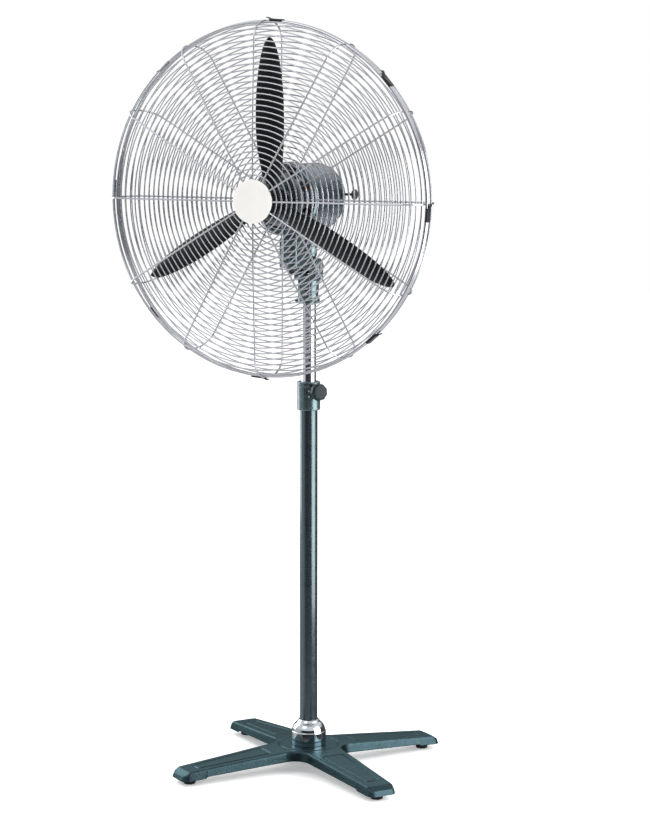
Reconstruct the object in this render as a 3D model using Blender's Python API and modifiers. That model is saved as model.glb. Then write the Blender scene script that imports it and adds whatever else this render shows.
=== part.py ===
"""Industrial pedestal fan: oscillating head in a wire guard on a telescopic pole and a cast cross base.

Metres, +Z up. The pole's axis is the world Z axis, the floor is z = 0, and the fan blows towards -Y.
"""

import math

import bmesh
import bpy
from mathutils import Matrix, Vector

# ---- driving dimensions ---------------------------------------------------------------------------------------

GAP = 0.0003                    # clearance between pieces that touch
PI = math.pi

HUB_Z = 1.354                   # height of the fan's axis above the floor
BASE_TURN = -32.5               # degrees from the fan's front to the first leg
LEG_COUNT = 4
FOOT_R = 0.318                  # foot pad centres from the pole's axis
LEG_END_R = 0.343
WEB_R = 0.080                   # hollow between two legs
BASE_TOP_Z = 0.054
TIP_TOP_Z = 0.034
WEB_BOTTOM_Z = 0.027
TIP_BOTTOM_Z = 0.0135
LEG_FILLET = 0.052              # rounded corner between two legs
TIP_HALF = 0.029                # half width of a leg's end
TIP_CUT = 0.008                 # its cut corners
SKIRT = ((0.0040, 0.12), (0.0035, 1.0))     # how far the skirt spreads, and its share of the drop
BASE_WALL = 0.005
BASE_BOLT_R = 0.0070
PAD_Z = 0.0117
PAD_R = 0.0145
PAD_STUD_R = 0.0040
FOOT_BOSS_TOP_Z = 0.0325

POLE_R = 0.021
POLE_BORE_R = 0.0192
POLE_TOP_Z = 0.882
INNER_R = 0.0175
INNER_BORE_R = 0.0159
INNER_FOOT_Z = 0.503
PLUG_TOP_Z = 0.092
COLLAR_R = 0.0272
COLLAR_BOTTOM_Z = 0.858
COLLAR_TOP_Z = 0.925
LOCK_Z = 0.904
LOCK_TURN = 57.5                # degrees from the fan's front to the lock knob
LOCK_SCREW_R = 0.0040
LOCK_KNOB_R = 0.0195
LOCK_KNOB_AT = 0.0475           # middle of the knob from the pole's axis

NECK_BOTTOM_Z = 1.108
TILT_Z = 1.195
TONGUE_HALF = 0.011
EAR_HALF = 0.029
EAR_R = 0.019
PIVOT_R = 0.0050
TILT_KNOB_R = 0.0170
LINK_PIN_R = 0.0030
LINK_Z = 1.2587
BRACKET_TOP_Z = 1.2555
SWIVEL_R = 0.008

MOTOR_R = 0.079
BELL_R = 0.084
WALL = 0.004
BELL_FACE_Y = -0.124
BELL_BACK_Y = -0.0800
REAR_BACK_Y = -0.0240
GEARBOX_FRONT_Y = -0.0237
GEARBOX_BACK_Y = 0.0300
COVER_BACK_Y = 0.0360
SHAFT_R = 0.006
CORE_LOW, CORE_HIGH = 0.0500, 0.1040        # stator and rotor, forward of the mast's axis
BOSS_BOTTOM_Z = 1.2623
CRANK_SHAFT_R = 0.0040
CRANK_Z = 1.331
CLUTCH_Y = 0.020
CLUTCH_Z = HUB_Z + 0.0075

GEAR_Y = 0.0045                 # worm wheel and crank gear lie on this line
MODULE = 0.00125
WHEEL_TEETH = 24
PINION_TEETH = 8
CRANK_TEETH = 32
WORM_R = 0.006                  # pitch radius
CRANK_THROW = 0.014

RIM_Y = -0.194
GUARD_R = 0.400
GUARD_CORNER = 0.036            # how far in the side wall rounds over
GUARD_SEGMENTS = 24
SPOKES = 12
CLIPS = 8
CLIP_LONG = 0.030
CLIP_TURN = math.radians(-3.5)   # keeps the clips off the spokes
BLADES = 3
BLADE_Y = -0.183
BLADE_TIP_R = 0.362
BLADE_CHORD = 0.0645
BLADE_WIDEST = 0.42             # share of the span
BADGE_R = 0.049

GREEN = (0.070, 0.100, 0.105)


# ---- helpers --------------------------------------------------------------------------------------------------

def clear_scene():
    for obj in list(bpy.data.objects):
        bpy.data.objects.remove(obj, do_unlink=True)


def new_collection(name, hidden=False):
    group = bpy.data.collections.new(name)
    bpy.context.scene.collection.children.link(group)
    group.hide_render = hidden
    return group


def material(name, color, roughness, metallic=0.0):
    """One Principled material."""
    mat = bpy.data.materials.new(name)
    mat.use_nodes = True
    shader = mat.node_tree.nodes["Principled BSDF"]
    shader.inputs["Base Color"].default_value = (*color, 1.0)
    shader.inputs["Roughness"].default_value = roughness
    shader.inputs["Metallic"].default_value = metallic
    return mat


def add_mesh(name, mesh, finish=None, group=None):
    obj = bpy.data.objects.new(name, mesh)
    (group or PARTS).objects.link(obj)
    if finish is not None:
        mesh.materials.append(material(name + "_finish", *FINISHES[finish]))
    return obj


def from_bmesh(name, bm, finish=None, group=None):
    mesh = bpy.data.meshes.new(name)
    bm.to_mesh(mesh)
    bm.free()
    return add_mesh(name, mesh, finish, group)


def place(obj, location, direction=(0, 0, 1)):
    """Moves an object and points its local +Z along direction."""
    turn = Vector((0, 0, 1)).rotation_difference(Vector(direction))
    obj.matrix_world = Matrix.Translation(location) @ turn.to_matrix().to_4x4()
    return obj


def turned(name, profile, finish=None, steps=24, ring=False, group=None):
    """Solid of revolution about local Z. The profile's (radius, height) points run down its outer side.

    A ring's profile is a closed loop that returns up its bore.
    """
    mesh = bpy.data.meshes.new(name)
    count = len(profile)
    edges = [(i, i + 1) for i in range(count - 1)]
    if ring:
        edges.append((count - 1, 0))
    mesh.from_pydata([(radius, 0, height) for radius, height in profile], edges, [])
    obj = add_mesh(name, mesh, finish, group)
    screw = obj.modifiers.new("turned", "SCREW")
    screw.steps = steps
    screw.render_steps = steps
    screw.use_merge_vertices = True
    screw.merge_threshold = 0.0001
    return obj


def rod(name, radius, low, high, finish=None, steps=24, group=None):
    profile = [(0, high), (radius, high), (radius, low), (0, low)]
    return turned(name, profile, finish, steps, group=group)


def tube(name, radius, bore, low, high, finish=None, steps=24, group=None):
    profile = [(radius, high), (radius, low), (bore, low), (bore, high)]
    return turned(name, profile, finish, steps, ring=True, group=group)


def box(name, size, finish=None, group=None):
    bm = bmesh.new()
    bmesh.ops.create_cube(bm, size=1.0)
    bmesh.ops.scale(bm, vec=size, verts=bm.verts)
    return from_bmesh(name, bm, finish, group)


def prism(name, points, height, finish=None, group=None):
    """A flat outline in local XY, extruded both ways from z = 0 to height / 2."""
    curve = bpy.data.curves.new(name, "CURVE")
    curve.dimensions = "2D"
    curve.fill_mode = "BOTH"
    curve.extrude = height / 2
    spline = curve.splines.new("POLY")
    spline.points.add(len(points) - 1)
    for point, (x, y) in zip(spline.points, points):
        point.co = (x, y, 0, 1)
    spline.use_cyclic_u = True
    return curve_to_mesh(name, curve, finish, group)


def curve_to_mesh(name, curve, finish=None, group=None):
    guide = bpy.data.objects.new(name + "_curve", curve)
    CUTTERS.objects.link(guide)
    bpy.context.view_layer.update()
    evaluated = guide.evaluated_get(bpy.context.evaluated_depsgraph_get())
    mesh = bpy.data.meshes.new_from_object(evaluated)
    bpy.data.objects.remove(guide, do_unlink=True)
    bm = bmesh.new()
    bm.from_mesh(mesh)
    bmesh.ops.remove_doubles(bm, verts=bm.verts, dist=0.00001)
    bmesh.ops.recalc_face_normals(bm, faces=bm.faces)
    return from_bmesh(name, bm, finish, group)


def combine(obj, tool, operation="DIFFERENCE"):
    """Cuts or joins with a tool that stays in the cutters' collection."""
    tool.hide_render = True
    tool.display_type = "WIRE"
    boolean = obj.modifiers.new(operation.lower(), "BOOLEAN")
    boolean.operation = operation
    boolean.object = tool
    boolean.solver = "EXACT"
    return obj


def cut(obj, tool):
    return combine(obj, tool)


def join(obj, tool):
    return combine(obj, tool, "UNION")


def welded(obj):
    """Merges the hair-thin slivers that several Booleans in a row can leave."""
    weld = obj.modifiers.new("weld", "WELD")
    weld.merge_threshold = 0.00008
    return obj


def cut_hole(obj, radius, start, end, steps=16):
    """Bores a straight hole between two world points."""
    start, end = Vector(start), Vector(end)
    tool = rod(obj.name + "_hole", radius, 0, (end - start).length, steps=steps, group=CUTTERS)
    place(tool, start, end - start)
    return cut(obj, tool)


def join_boss(obj, radius, start, end, steps=20):
    start, end = Vector(start), Vector(end)
    tool = rod(obj.name + "_boss", radius, 0, (end - start).length, steps=steps, group=CUTTERS)
    place(tool, start, end - start)
    return join(obj, tool)


def box_tool(name, low, high):
    """A cutter block between two corners."""
    size = [b - a for a, b in zip(low, high)]
    tool = box(name, size, group=CUTTERS)
    tool.location = [(a + b) / 2 for a, b in zip(low, high)]
    return tool


def bevelled(obj, width, segments=1, angle=40):
    bevel = obj.modifiers.new("rounded", "BEVEL")
    bevel.width = width
    bevel.segments = segments
    bevel.limit_method = "ANGLE"
    bevel.angle_limit = math.radians(angle)
    return obj


def heading(degrees):
    """Horizontal unit vector, measured from the fan's front (-Y) towards +X."""
    angle = math.radians(degrees)
    return Vector((math.sin(angle), -math.cos(angle), 0))


def axis_empty(name, location, parent=None):
    empty = bpy.data.objects.new(name, None)
    empty.empty_display_size = 0.03
    empty.location = location
    PARTS.objects.link(empty)
    hang([empty], parent)
    return empty


def hang(objects, parent):
    """Parents objects without moving them."""
    if parent is None:
        return
    bpy.context.view_layer.update()
    for obj in objects:
        obj.parent = parent
        obj.matrix_parent_inverse = parent.matrix_world.inverted()


def gear_outline(teeth, root_cut, phase):
    """Trapezoid teeth on the pitch circle of MODULE * teeth / 2, the first one centred on the phase angle."""
    pitch_r = MODULE * teeth / 2
    step = 2 * PI / teeth
    tip_r = pitch_r + 0.85 * MODULE
    root_r = pitch_r - root_cut * MODULE
    points = []
    for tooth in range(teeth):
        middle = phase + tooth * step
        for radius, share in ((root_r, -0.30), (tip_r, -0.11), (tip_r, 0.11), (root_r, 0.30)):
            angle = middle + share * step
            points.append((radius * math.cos(angle), radius * math.sin(angle)))
    return points


# ---- stand ----------------------------------------------------------------------------------------------------

def base_top_z(radius):
    share = max(0.0, radius - WEB_R) / (LEG_END_R - WEB_R)
    return BASE_TOP_Z + (TIP_TOP_Z - BASE_TOP_Z) * min(1.0, share)


def base_bottom_z(radius):
    share = max(0.0, radius - WEB_R) / (LEG_END_R - WEB_R)
    return WEB_BOTTOM_Z + (TIP_BOTTOM_Z - WEB_BOTTOM_Z) * min(1.0, share)


def leg_edge():
    """Half outline of a leg, from the web's middle to the tip: a rounded corner and then a straight taper."""
    centre = (WEB_R + LEG_FILLET) / math.sqrt(2)
    points = []
    for step in range(4):
        angle = math.radians(225 + 13 * step)
        points.append((centre + LEG_FILLET * math.cos(angle), centre + LEG_FILLET * math.sin(angle)))
    start = points[-1]
    for share in (0.3, 0.6, 0.85):
        x = start[0] + (LEG_END_R - TIP_CUT - start[0]) * share
        points.append((x, start[1] + (TIP_HALF - start[1]) * share))
    points.append((LEG_END_R, TIP_HALF - TIP_CUT))
    return points


def base_surface():
    """Top of the casting and its draughted skirt, as one open surface."""
    bm = bmesh.new()
    across = (-1.0, -0.6, 0.0, 0.6, 1.0)
    edge = leg_edge()
    side = edge[0][0]
    grid = {}
    for i, a in enumerate(across):
        for j, b in enumerate(across):
            grid[i, j] = bm.verts.new((a * side, b * side, 0))
    for i in range(len(across) - 1):
        for j in range(len(across) - 1):
            bm.faces.new((grid[i, j], grid[i + 1, j], grid[i + 1, j + 1], grid[i, j + 1]))
    for leg in range(LEG_COUNT):
        turn = Matrix.Rotation(leg * PI / 2, 3, "Z")
        last = None
        for x, half in edge:
            row = [bm.verts.new(turn @ Vector((x, half * share, 0))) for share in across]
            if last is not None:
                for a, b, c, d in zip(last, row, row[1:], last[1:]):
                    bm.faces.new((a, b, c, d))
            last = row
    bmesh.ops.remove_doubles(bm, verts=bm.verts, dist=0.0001)
    bmesh.ops.recalc_face_normals(bm, faces=bm.faces)
    for vert in bm.verts:
        vert.co.z = base_top_z(vert.co.to_2d().length)
    rim = [e for e in bm.edges if e.is_boundary]
    for spread, drop in SKIRT:
        outward = {}
        for e in rim:
            face = e.link_faces[0]
            a, b = e.verts
            side_way = (b.co - a.co).to_2d().orthogonal().normalized()
            if side_way.dot((face.calc_center_median() - a.co).to_2d()) > 0:
                side_way = -side_way
            for vert in e.verts:
                outward.setdefault(vert, Vector((0, 0)))
                outward[vert] += side_way
        result = bmesh.ops.extrude_edge_only(bm, edges=rim)
        fresh = [g for g in result["geom"] if isinstance(g, bmesh.types.BMVert)]
        places = {v.co.to_tuple(6): way for v, way in outward.items()}
        for vert in fresh:
            way = places[vert.co.to_tuple(6)].normalized() * spread
            radius = vert.co.to_2d().length
            top, bottom = base_top_z(radius), base_bottom_z(radius)
            vert.co.x += way.x
            vert.co.y += way.y
            vert.co.z = top + (bottom - top) * drop
        rim = [g for g in result["geom"] if isinstance(g, bmesh.types.BMEdge) and g.is_boundary]
    bmesh.ops.recalc_face_normals(bm, faces=bm.faces)
    return bm


def make_base():
    """Hollow cast cross with a boss over each foot."""
    base = from_bmesh("base_casting", base_surface(), "enamel")
    base.matrix_world = Matrix.Rotation(math.radians(BASE_TURN - 90), 4, "Z")
    shell = base.modifiers.new("wall", "SOLIDIFY")
    shell.thickness = BASE_WALL
    shell.offset = -1
    for leg in range(LEG_COUNT):
        foot = heading(BASE_TURN + 90 * leg) * FOOT_R
        boss = tube("foot_boss", PAD_R, PAD_STUD_R + GAP, PAD_Z + GAP, FOOT_BOSS_TOP_Z, steps=16, group=CUTTERS)
        boss.matrix_world = Matrix.Translation(foot) @ Matrix.Rotation(math.radians(7 + 90 * leg), 4, "Z")
        join(base, boss)
    cut_hole(base, BASE_BOLT_R + 2 * GAP, (0, 0, 0), (0, 0, 0.08))
    return welded(base)


def make_foot_pads():
    """Rubber pads with a stud that is pressed up into the casting."""
    pads = []
    for leg in range(LEG_COUNT):
        foot = heading(BASE_TURN + 90 * leg) * FOOT_R
        stud = [(0, 0.021), (PAD_STUD_R - 0.0002, 0.021), (PAD_STUD_R, PAD_Z)]
        body = [(PAD_R - 0.001, PAD_Z), (PAD_R, 0.002), (PAD_R - 0.0015, 0.0), (0, 0.0)]
        pad = turned(f"foot_pad_{leg + 1}", stud + body, "rubber", 20)
        pad.location = (foot.x, foot.y, 0)
        pads.append(pad)
    return pads


def make_pole():
    low = BASE_TOP_Z + GAP
    pole = tube("outer_pole", POLE_R, POLE_BORE_R, low, POLE_TOP_Z, "enamel", 24)
    plug = tube("pole_plug", POLE_BORE_R - 0.0004, BASE_BOLT_R + GAP, low, PLUG_TOP_Z, "steel", 24)
    under = BASE_TOP_Z - BASE_WALL - GAP
    shank = [(0, PLUG_TOP_Z - 0.003), (BASE_BOLT_R, PLUG_TOP_Z - 0.003), (BASE_BOLT_R, under)]
    head = [(0.0135, under), (0.0135, under - 0.009), (0, under - 0.009)]
    bolt = turned("base_bolt", shank + head, "zinc", 12)
    outer = [(POLE_R + 0.0022, 0.114), (0.0250, 0.112), (0.0280, 0.107), (0.0300, 0.1055), (0.0360, 0.099)]
    outer += [(0.0400, 0.090), (0.0415, 0.084), (0.0415, low)]
    inner = [(0.0400, low), (0.0400, 0.083), (0.0350, 0.096), (POLE_R + GAP, 0.110), (POLE_R + GAP, 0.114)]
    cover = turned("pole_base_cover", outer + inner, "chrome", 24, ring=True)
    return [pole, plug, bolt, cover]


def make_collar():
    """Collar on the outer pole, with the boss of its lock screw and the plastic bush under it."""
    step_z = POLE_TOP_Z + 0.004
    groove = [(COLLAR_R, 0.916), (COLLAR_R - 0.0012, 0.9150), (COLLAR_R - 0.0012, 0.9130), (COLLAR_R, 0.912)]
    outer = [(COLLAR_R - 0.002, COLLAR_TOP_Z), (COLLAR_R, COLLAR_TOP_Z - 0.002)] + groove
    outer += [(COLLAR_R, COLLAR_BOTTOM_Z + 0.0015), (COLLAR_R - 0.0015, COLLAR_BOTTOM_Z)]
    bore = [(POLE_R + GAP, COLLAR_BOTTOM_Z), (POLE_R + GAP, step_z), (0.0183, step_z), (0.0183, COLLAR_TOP_Z)]
    collar = turned("height_collar", outer + bore, "enamel", 24, ring=True)
    way = heading(LOCK_TURN)
    level = Vector((0, 0, LOCK_Z))
    join_boss(collar, 0.0090, way * 0.0225 + level, way * 0.0350 + level, 16)
    cut_hole(collar, LOCK_SCREW_R + GAP, way * 0.010 + level, way * 0.050 + level, 16)
    sleeve = [(POLE_R - 0.0004, step_z - GAP), (POLE_R - 0.0004, POLE_TOP_Z + GAP), (0.0189, POLE_TOP_Z + GAP)]
    sleeve += [(0.0189, 0.846), (0.0178, 0.846), (0.0178, step_z - GAP)]
    bush = turned("collar_bush", sleeve, "plastic", 24, ring=True)
    return [collar, bush]


def knob_outline(radius, lobes, depth):
    """Wavy hand-grip outline."""
    points = []
    count = lobes * 4
    for i in range(count):
        angle = 2 * PI * i / count
        r = radius - depth * (0.5 - 0.5 * math.cos(angle * lobes))
        points.append((r * math.cos(angle), r * math.sin(angle)))
    return points


def make_lock():
    way = heading(LOCK_TURN)
    level = Vector((0, 0, LOCK_Z))
    screw = rod("height_lock_screw", LOCK_SCREW_R, 0.0179, 0.0450, "zinc", 16)
    place(screw, level, way)
    knob = prism("height_lock_knob", knob_outline(LOCK_KNOB_R, 7, 0.0030), 0.019, "knob")
    place(knob, way * LOCK_KNOB_AT + level, way)
    bevelled(knob, 0.003, 1, 60)
    cut_hole(knob, LOCK_SCREW_R + GAP, way * 0.030 + level, way * 0.0455 + level)
    return [knob, screw]


# ---- telescopic mast and neck ---------------------------------------------------------------------------------

def make_mast():
    top = 1.158
    inner = tube("inner_pole", INNER_R, INNER_BORE_R, INNER_FOOT_Z, top, "chrome", 24)
    under, low, plug_top = INNER_FOOT_Z - GAP, INNER_FOOT_Z - 0.015, INNER_FOOT_Z + 0.027
    glide = [(0.0188, under), (0.0190, INNER_FOOT_Z - 0.002), (0.0186, low), (0.0130, low)]
    glide += [(0.0130, plug_top), (INNER_BORE_R - GAP, plug_top), (INNER_BORE_R - GAP, under)]
    foot = turned("inner_pole_glide", glide, "plastic", 24, ring=True)
    return [inner, foot]


def make_neck():
    """Neck casting: socket on the inner pole below, clevis with two ears above."""
    outer = [(0, 1.180), (0.0250, 1.180), (0.0250, 1.165), (0.0232, 1.140), (0.0225, 1.1205), (0.0260, 1.1195)]
    outer += [(0.0260, NECK_BOTTOM_Z + 0.001), (0.0250, NECK_BOTTOM_Z), (INNER_R + GAP, NECK_BOTTOM_Z)]
    outer += [(INNER_R + GAP, 1.1585), (0, 1.1585)]
    neck = turned("neck_casting", outer, "enamel", 24)
    ears = box_tool("neck_ears", (-EAR_HALF, -EAR_R, 1.164), (EAR_HALF, EAR_R, TILT_Z))
    bevelled(ears, 0.004)
    join(neck, ears)
    join_boss(neck, EAR_R, (-EAR_HALF, 0, TILT_Z), (EAR_HALF, 0, TILT_Z))
    slot = TONGUE_HALF + 0.0004
    cut(neck, box_tool("neck_slot", (-slot, -0.03, 1.1745), (slot, 0.03, 1.25)))
    cut_hole(neck, PIVOT_R + GAP, (-0.05, 0, TILT_Z), (0.05, 0, TILT_Z))
    return neck


def make_tilt_hardware():
    """Pivot bolt through the ears, and the hand knob on its end."""
    head_x = EAR_HALF + GAP
    profile = [(0, head_x + 0.0065), (0.0090, head_x + 0.0065), (0.0090, head_x), (PIVOT_R, head_x)]
    bolt = turned("tilt_bolt", profile + [(PIVOT_R, -0.0460), (0, -0.0460)], "zinc", 12)
    place(bolt, (0, 0, TILT_Z), (1, 0, 0))
    knob = prism("tilt_lock_knob", knob_outline(TILT_KNOB_R, 6, 0.0030), 0.018, "knob")
    place(knob, (-EAR_HALF - 0.0100, 0, TILT_Z), (-1, 0, 0))
    bevelled(knob, 0.0025, 1, 60)
    cut_hole(knob, PIVOT_R + GAP, (-0.020, 0, TILT_Z), (-0.0465, 0, TILT_Z))
    return bolt, knob


def crank_axis():
    """Crank shaft's place in plan: one pinion mesh beyond the worm wheel."""
    wheel_x = -(WORM_R + MODULE * WHEEL_TEETH / 2 + 0.0001)
    reach = MODULE * (PINION_TEETH + CRANK_TEETH) / 2 + 0.00015
    return Vector((wheel_x, GEAR_Y)), Vector((wheel_x - reach, GEAR_Y))


def link_ends():
    """Fixed anchor pin on the tilt bracket, and the crank pin at mid stroke."""
    anchor = Vector((-0.005, 0.022))
    centre = crank_axis()[1]
    along = (centre - anchor).normalized()
    pin = centre + CRANK_THROW * Vector((along.y, -along.x))
    return anchor, pin


def make_tilt_bracket():
    """Tongue between the neck's ears, socket of the swivel bush, and the anchor lug of the crank link."""
    anchor = link_ends()[0]
    bracket = rod("tilt_bracket", 0.0200, 1.218, BRACKET_TOP_Z, "enamel", 24)
    tongue = box_tool("tongue", (-TONGUE_HALF, -0.0165, TILT_Z), (TONGUE_HALF, 0.0165, 1.222))
    join(bracket, tongue)
    join_boss(bracket, 0.0175, (-TONGUE_HALF, 0, TILT_Z), (TONGUE_HALF, 0, TILT_Z))
    join_boss(bracket, 0.0065, (anchor.x, anchor.y, 1.240), (anchor.x, anchor.y, BRACKET_TOP_Z), 16)
    join_boss(bracket, LINK_PIN_R, (anchor.x, anchor.y, 1.250), (anchor.x, anchor.y, 1.2630), 12)
    cut_hole(bracket, 0.0113, (0, 0, 1.226), (0, 0, 1.300), 24)
    cut_hole(bracket, PIVOT_R + GAP, (-0.05, 0, TILT_Z), (0.05, 0, TILT_Z))
    return bracket


def make_swivel():
    flange_z = BRACKET_TOP_Z + GAP
    loop = [(0.0125, BOSS_BOTTOM_Z - GAP), (0.0125, flange_z), (0.0110, flange_z), (0.0110, 1.228)]
    loop += [(SWIVEL_R + GAP, 1.228), (SWIVEL_R + GAP, BOSS_BOTTOM_Z - GAP)]
    bush = turned("swivel_bush", loop, "brass", 24, ring=True)
    pin = rod("swivel_pin", SWIVEL_R, 1.2265, 1.2840, "steel", 24)
    return bush, pin


# ---- motor and gearbox ----------------------------------------------------------------------------------------

def facing(obj, x=0.0, z=HUB_Z):
    """Stands a turned piece on the fan's axis: local height h becomes world y = -h."""
    return place(obj, (x, 0, z), (0, -1, 0))


def make_front_cover():
    """Front bell: rounded cup with a bearing boss and eight cooling slots."""
    face = -BELL_FACE_Y
    back = -BELL_BACK_Y
    outer = [(0.0080, 0.1400), (0.0250, 0.1400), (0.0280, 0.1375), (0.0500, 0.1375), (0.0500, face)]
    outer += [(0.0740, face), (0.0800, face - 0.0020), (BELL_R, face - 0.0080), (BELL_R, back)]
    inner = [(BELL_R - WALL, back), (BELL_R - WALL, face - 0.0100), (0.0740, face - WALL), (0.0240, face - WALL)]
    inner += [(0.0240, 0.1230), (0.0178, 0.1230), (0.0178, 0.1368), (0.0080, 0.1368)]
    cover = turned("motor_front_cover", outer + inner, "enamel", 24, ring=True)
    for slot in range(8):
        angle = (slot + 0.5) * PI / 4
        tool = box("front_slot", (0.0150, 0.0200, 0.0080), group=CUTTERS)
        spin = Matrix.Rotation(angle, 4, "Y")
        tool.matrix_world = Matrix.Translation((0, BELL_FACE_Y, HUB_Z)) @ spin @ Matrix.Translation((0.066, 0, 0))
        cut(facing(cover), tool)
    return cover


def make_rear_cover():
    front = -BELL_BACK_Y - GAP
    back = -REAR_BACK_Y
    outer = [(MOTOR_R, front), (MOTOR_R, back), (0.0080, back)]
    inner = [(0.0080, back + 0.0045), (0.0143, back + 0.0045), (0.0143, 0.0410), (0.0190, 0.0410)]
    inner += [(0.0190, back + WALL), (MOTOR_R - WALL, back + WALL), (MOTOR_R - WALL, front)]
    return facing(turned("motor_rear_cover", outer + inner, "enamel", 24, ring=True))


def make_gearbox():
    """Gear housing behind the motor, with bosses for the swivel pin, the wheel's shaft and the crank shaft."""
    wheel, crank = crank_axis()
    front = -GEARBOX_FRONT_Y
    back = -GEARBOX_BACK_Y
    outer = [(MOTOR_R, front), (MOTOR_R, back)]
    inner = [(MOTOR_R - WALL, back), (MOTOR_R - WALL, front - 0.003), (0.0100, front - 0.003), (0.0100, front)]
    housing = facing(turned("gearbox_housing", outer + inner, "enamel", 24, ring=True))
    join_boss(housing, 0.0170, (0, 0, BOSS_BOTTOM_Z), (0, 0, 1.290))
    join_boss(housing, 0.0060, (wheel.x, wheel.y, 1.280), (wheel.x, wheel.y, 1.322), 16)
    join_boss(housing, 0.0080, (crank.x, crank.y, 1.2885), (crank.x, crank.y, 1.324), 16)
    cut_hole(housing, SWIVEL_R + GAP, (0, 0, 1.250), (0, 0, 1.2845), 24)
    cut_hole(housing, 0.0033, (wheel.x, wheel.y, 1.300), (wheel.x, wheel.y, 1.330), 12)
    cut_hole(housing, CRANK_SHAFT_R + GAP, (crank.x, crank.y, 1.270), (crank.x, crank.y, 1.340), 16)
    cut_hole(housing, 0.0034, (0.060, CLUTCH_Y, CLUTCH_Z), (0.090, CLUTCH_Y, CLUTCH_Z), 12)
    welded(housing)
    rear = -COVER_BACK_Y
    rim = -GEARBOX_BACK_Y - GAP
    profile = [(0, rim), (MOTOR_R, rim), (MOTOR_R, rear + 0.0020), (MOTOR_R - 0.0040, rear), (0, rear)]
    cover = facing(turned("gearbox_cover", profile, "enamel", 24))
    return housing, cover


def make_stator():
    core = facing(tube("stator_core", MOTOR_R - WALL - 0.0004, 0.0420, CORE_LOW, CORE_HIGH, "laminations", 24))
    heads = []
    front, rear = (CORE_HIGH + GAP, 0.1160), (0.0380, CORE_LOW - GAP)
    for name, (low, high) in (("winding_front", front), ("winding_rear", rear)):
        loop = [(0.0660, high), (0.0700, high - 0.003), (0.0700, low), (0.0450, low), (0.0450, high - 0.003)]
        heads.append(facing(turned(name, loop, "copper", 24, ring=True)))
    return [core] + heads


def make_rotor():
    core = facing(tube("rotor_core", 0.0415, SHAFT_R + GAP, CORE_LOW, CORE_HIGH, "laminations", 24))
    return [core, make_shaft()]


def worm_radius(height, angle):
    """Thread height over the axial pitch: root, flank, crest, flank."""
    pitch = PI * MODULE
    share = (((height + GEAR_Y) / pitch + angle / (2 * PI)) + 0.5) % 1.0
    distance = abs(share - 0.5) * 2
    crest = 1 - min(1.0, max(0.0, (distance - 0.26) / 0.38))
    return WORM_R - 1.15 * MODULE + 2.0 * MODULE * crest


def make_shaft():
    """Rotor shaft with the oscillation worm cut on its rear end."""
    around = 12
    bm = bmesh.new()
    rings = []
    worm_front, worm_back = -GEAR_Y + 0.0070, -GEAR_Y - 0.0070
    turns = 18
    heights = [0.2090, worm_front + 0.0004]
    heights += [worm_front + (worm_back - worm_front) * i / turns for i in range(turns + 1)]
    heights += [worm_back - 0.0004, worm_back - 0.0040]
    for index, height in enumerate(heights):
        ring = []
        for spot in range(around):
            angle = 2 * PI * spot / around
            in_worm = 2 <= index < len(heights) - 2
            radius = worm_radius(height, angle) if in_worm else (SHAFT_R if index < 2 else 0.0040)
            if index == 1 or index == len(heights) - 2:
                radius = 0.0045
            ring.append(bm.verts.new((radius * math.cos(angle), radius * math.sin(angle), height)))
        rings.append(ring)
    neck = [bm.verts.new((v.co.x, v.co.y, 0.0090)) for v in rings[0]]
    rings.insert(1, neck)
    for upper, lower in zip(rings, rings[1:]):
        for i in range(around):
            k = (i + 1) % around
            bm.faces.new((upper[i], lower[i], lower[k], upper[k]))
    bm.faces.new(rings[0])
    bm.faces.new(rings[-1][::-1])
    bmesh.ops.recalc_face_normals(bm, faces=bm.faces)
    return facing(from_bmesh("rotor_shaft", bm, "steel"))


def make_bearings():
    front = facing(tube("front_bearing", 0.0175, SHAFT_R + GAP, 0.1245, 0.1365, "steel", 24))
    rear = facing(tube("rear_bearing", 0.0140, SHAFT_R + GAP, 0.0288, 0.0405, "steel", 24))
    return [front, rear]


def make_gears():
    """Worm wheel with its pinion, and the crank gear with its shaft and disc."""
    wheel_at, crank_at = crank_axis()
    wheel = prism("worm_wheel", gear_outline(WHEEL_TEETH, 1.15, 0.0), 0.005, "nylon")
    wheel.location = (wheel_at.x, wheel_at.y, HUB_Z)
    pinion = prism("pinion", gear_outline(PINION_TEETH, 1.0, 0.0), 0.0300, group=CUTTERS)
    pinion.location = (wheel_at.x, wheel_at.y, HUB_Z - 0.0165)
    join(wheel, pinion)
    join_boss(wheel, 0.0030, (wheel_at.x, wheel_at.y, 1.301), (wheel_at.x, wheel_at.y, 1.345), 12)
    half_tooth = PI / CRANK_TEETH
    gear = prism("crank_gear", gear_outline(CRANK_TEETH, 1.15, half_tooth), 0.006, "nylon")
    gear.location = (crank_at.x, crank_at.y, CRANK_Z)
    join_boss(gear, CRANK_SHAFT_R, (crank_at.x, crank_at.y, 1.2720), (crank_at.x, crank_at.y, 1.336), 16)
    pin_at = link_ends()[1]
    disc = rod("crank_disc", 0.0190, 1.2660, 1.2710, "zinc", 24)
    disc.location = (crank_at.x, crank_at.y, 0)
    join_boss(disc, LINK_PIN_R, (pin_at.x, pin_at.y, 1.2620), (pin_at.x, pin_at.y, 1.2690), 12)
    return wheel, gear, disc


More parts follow.
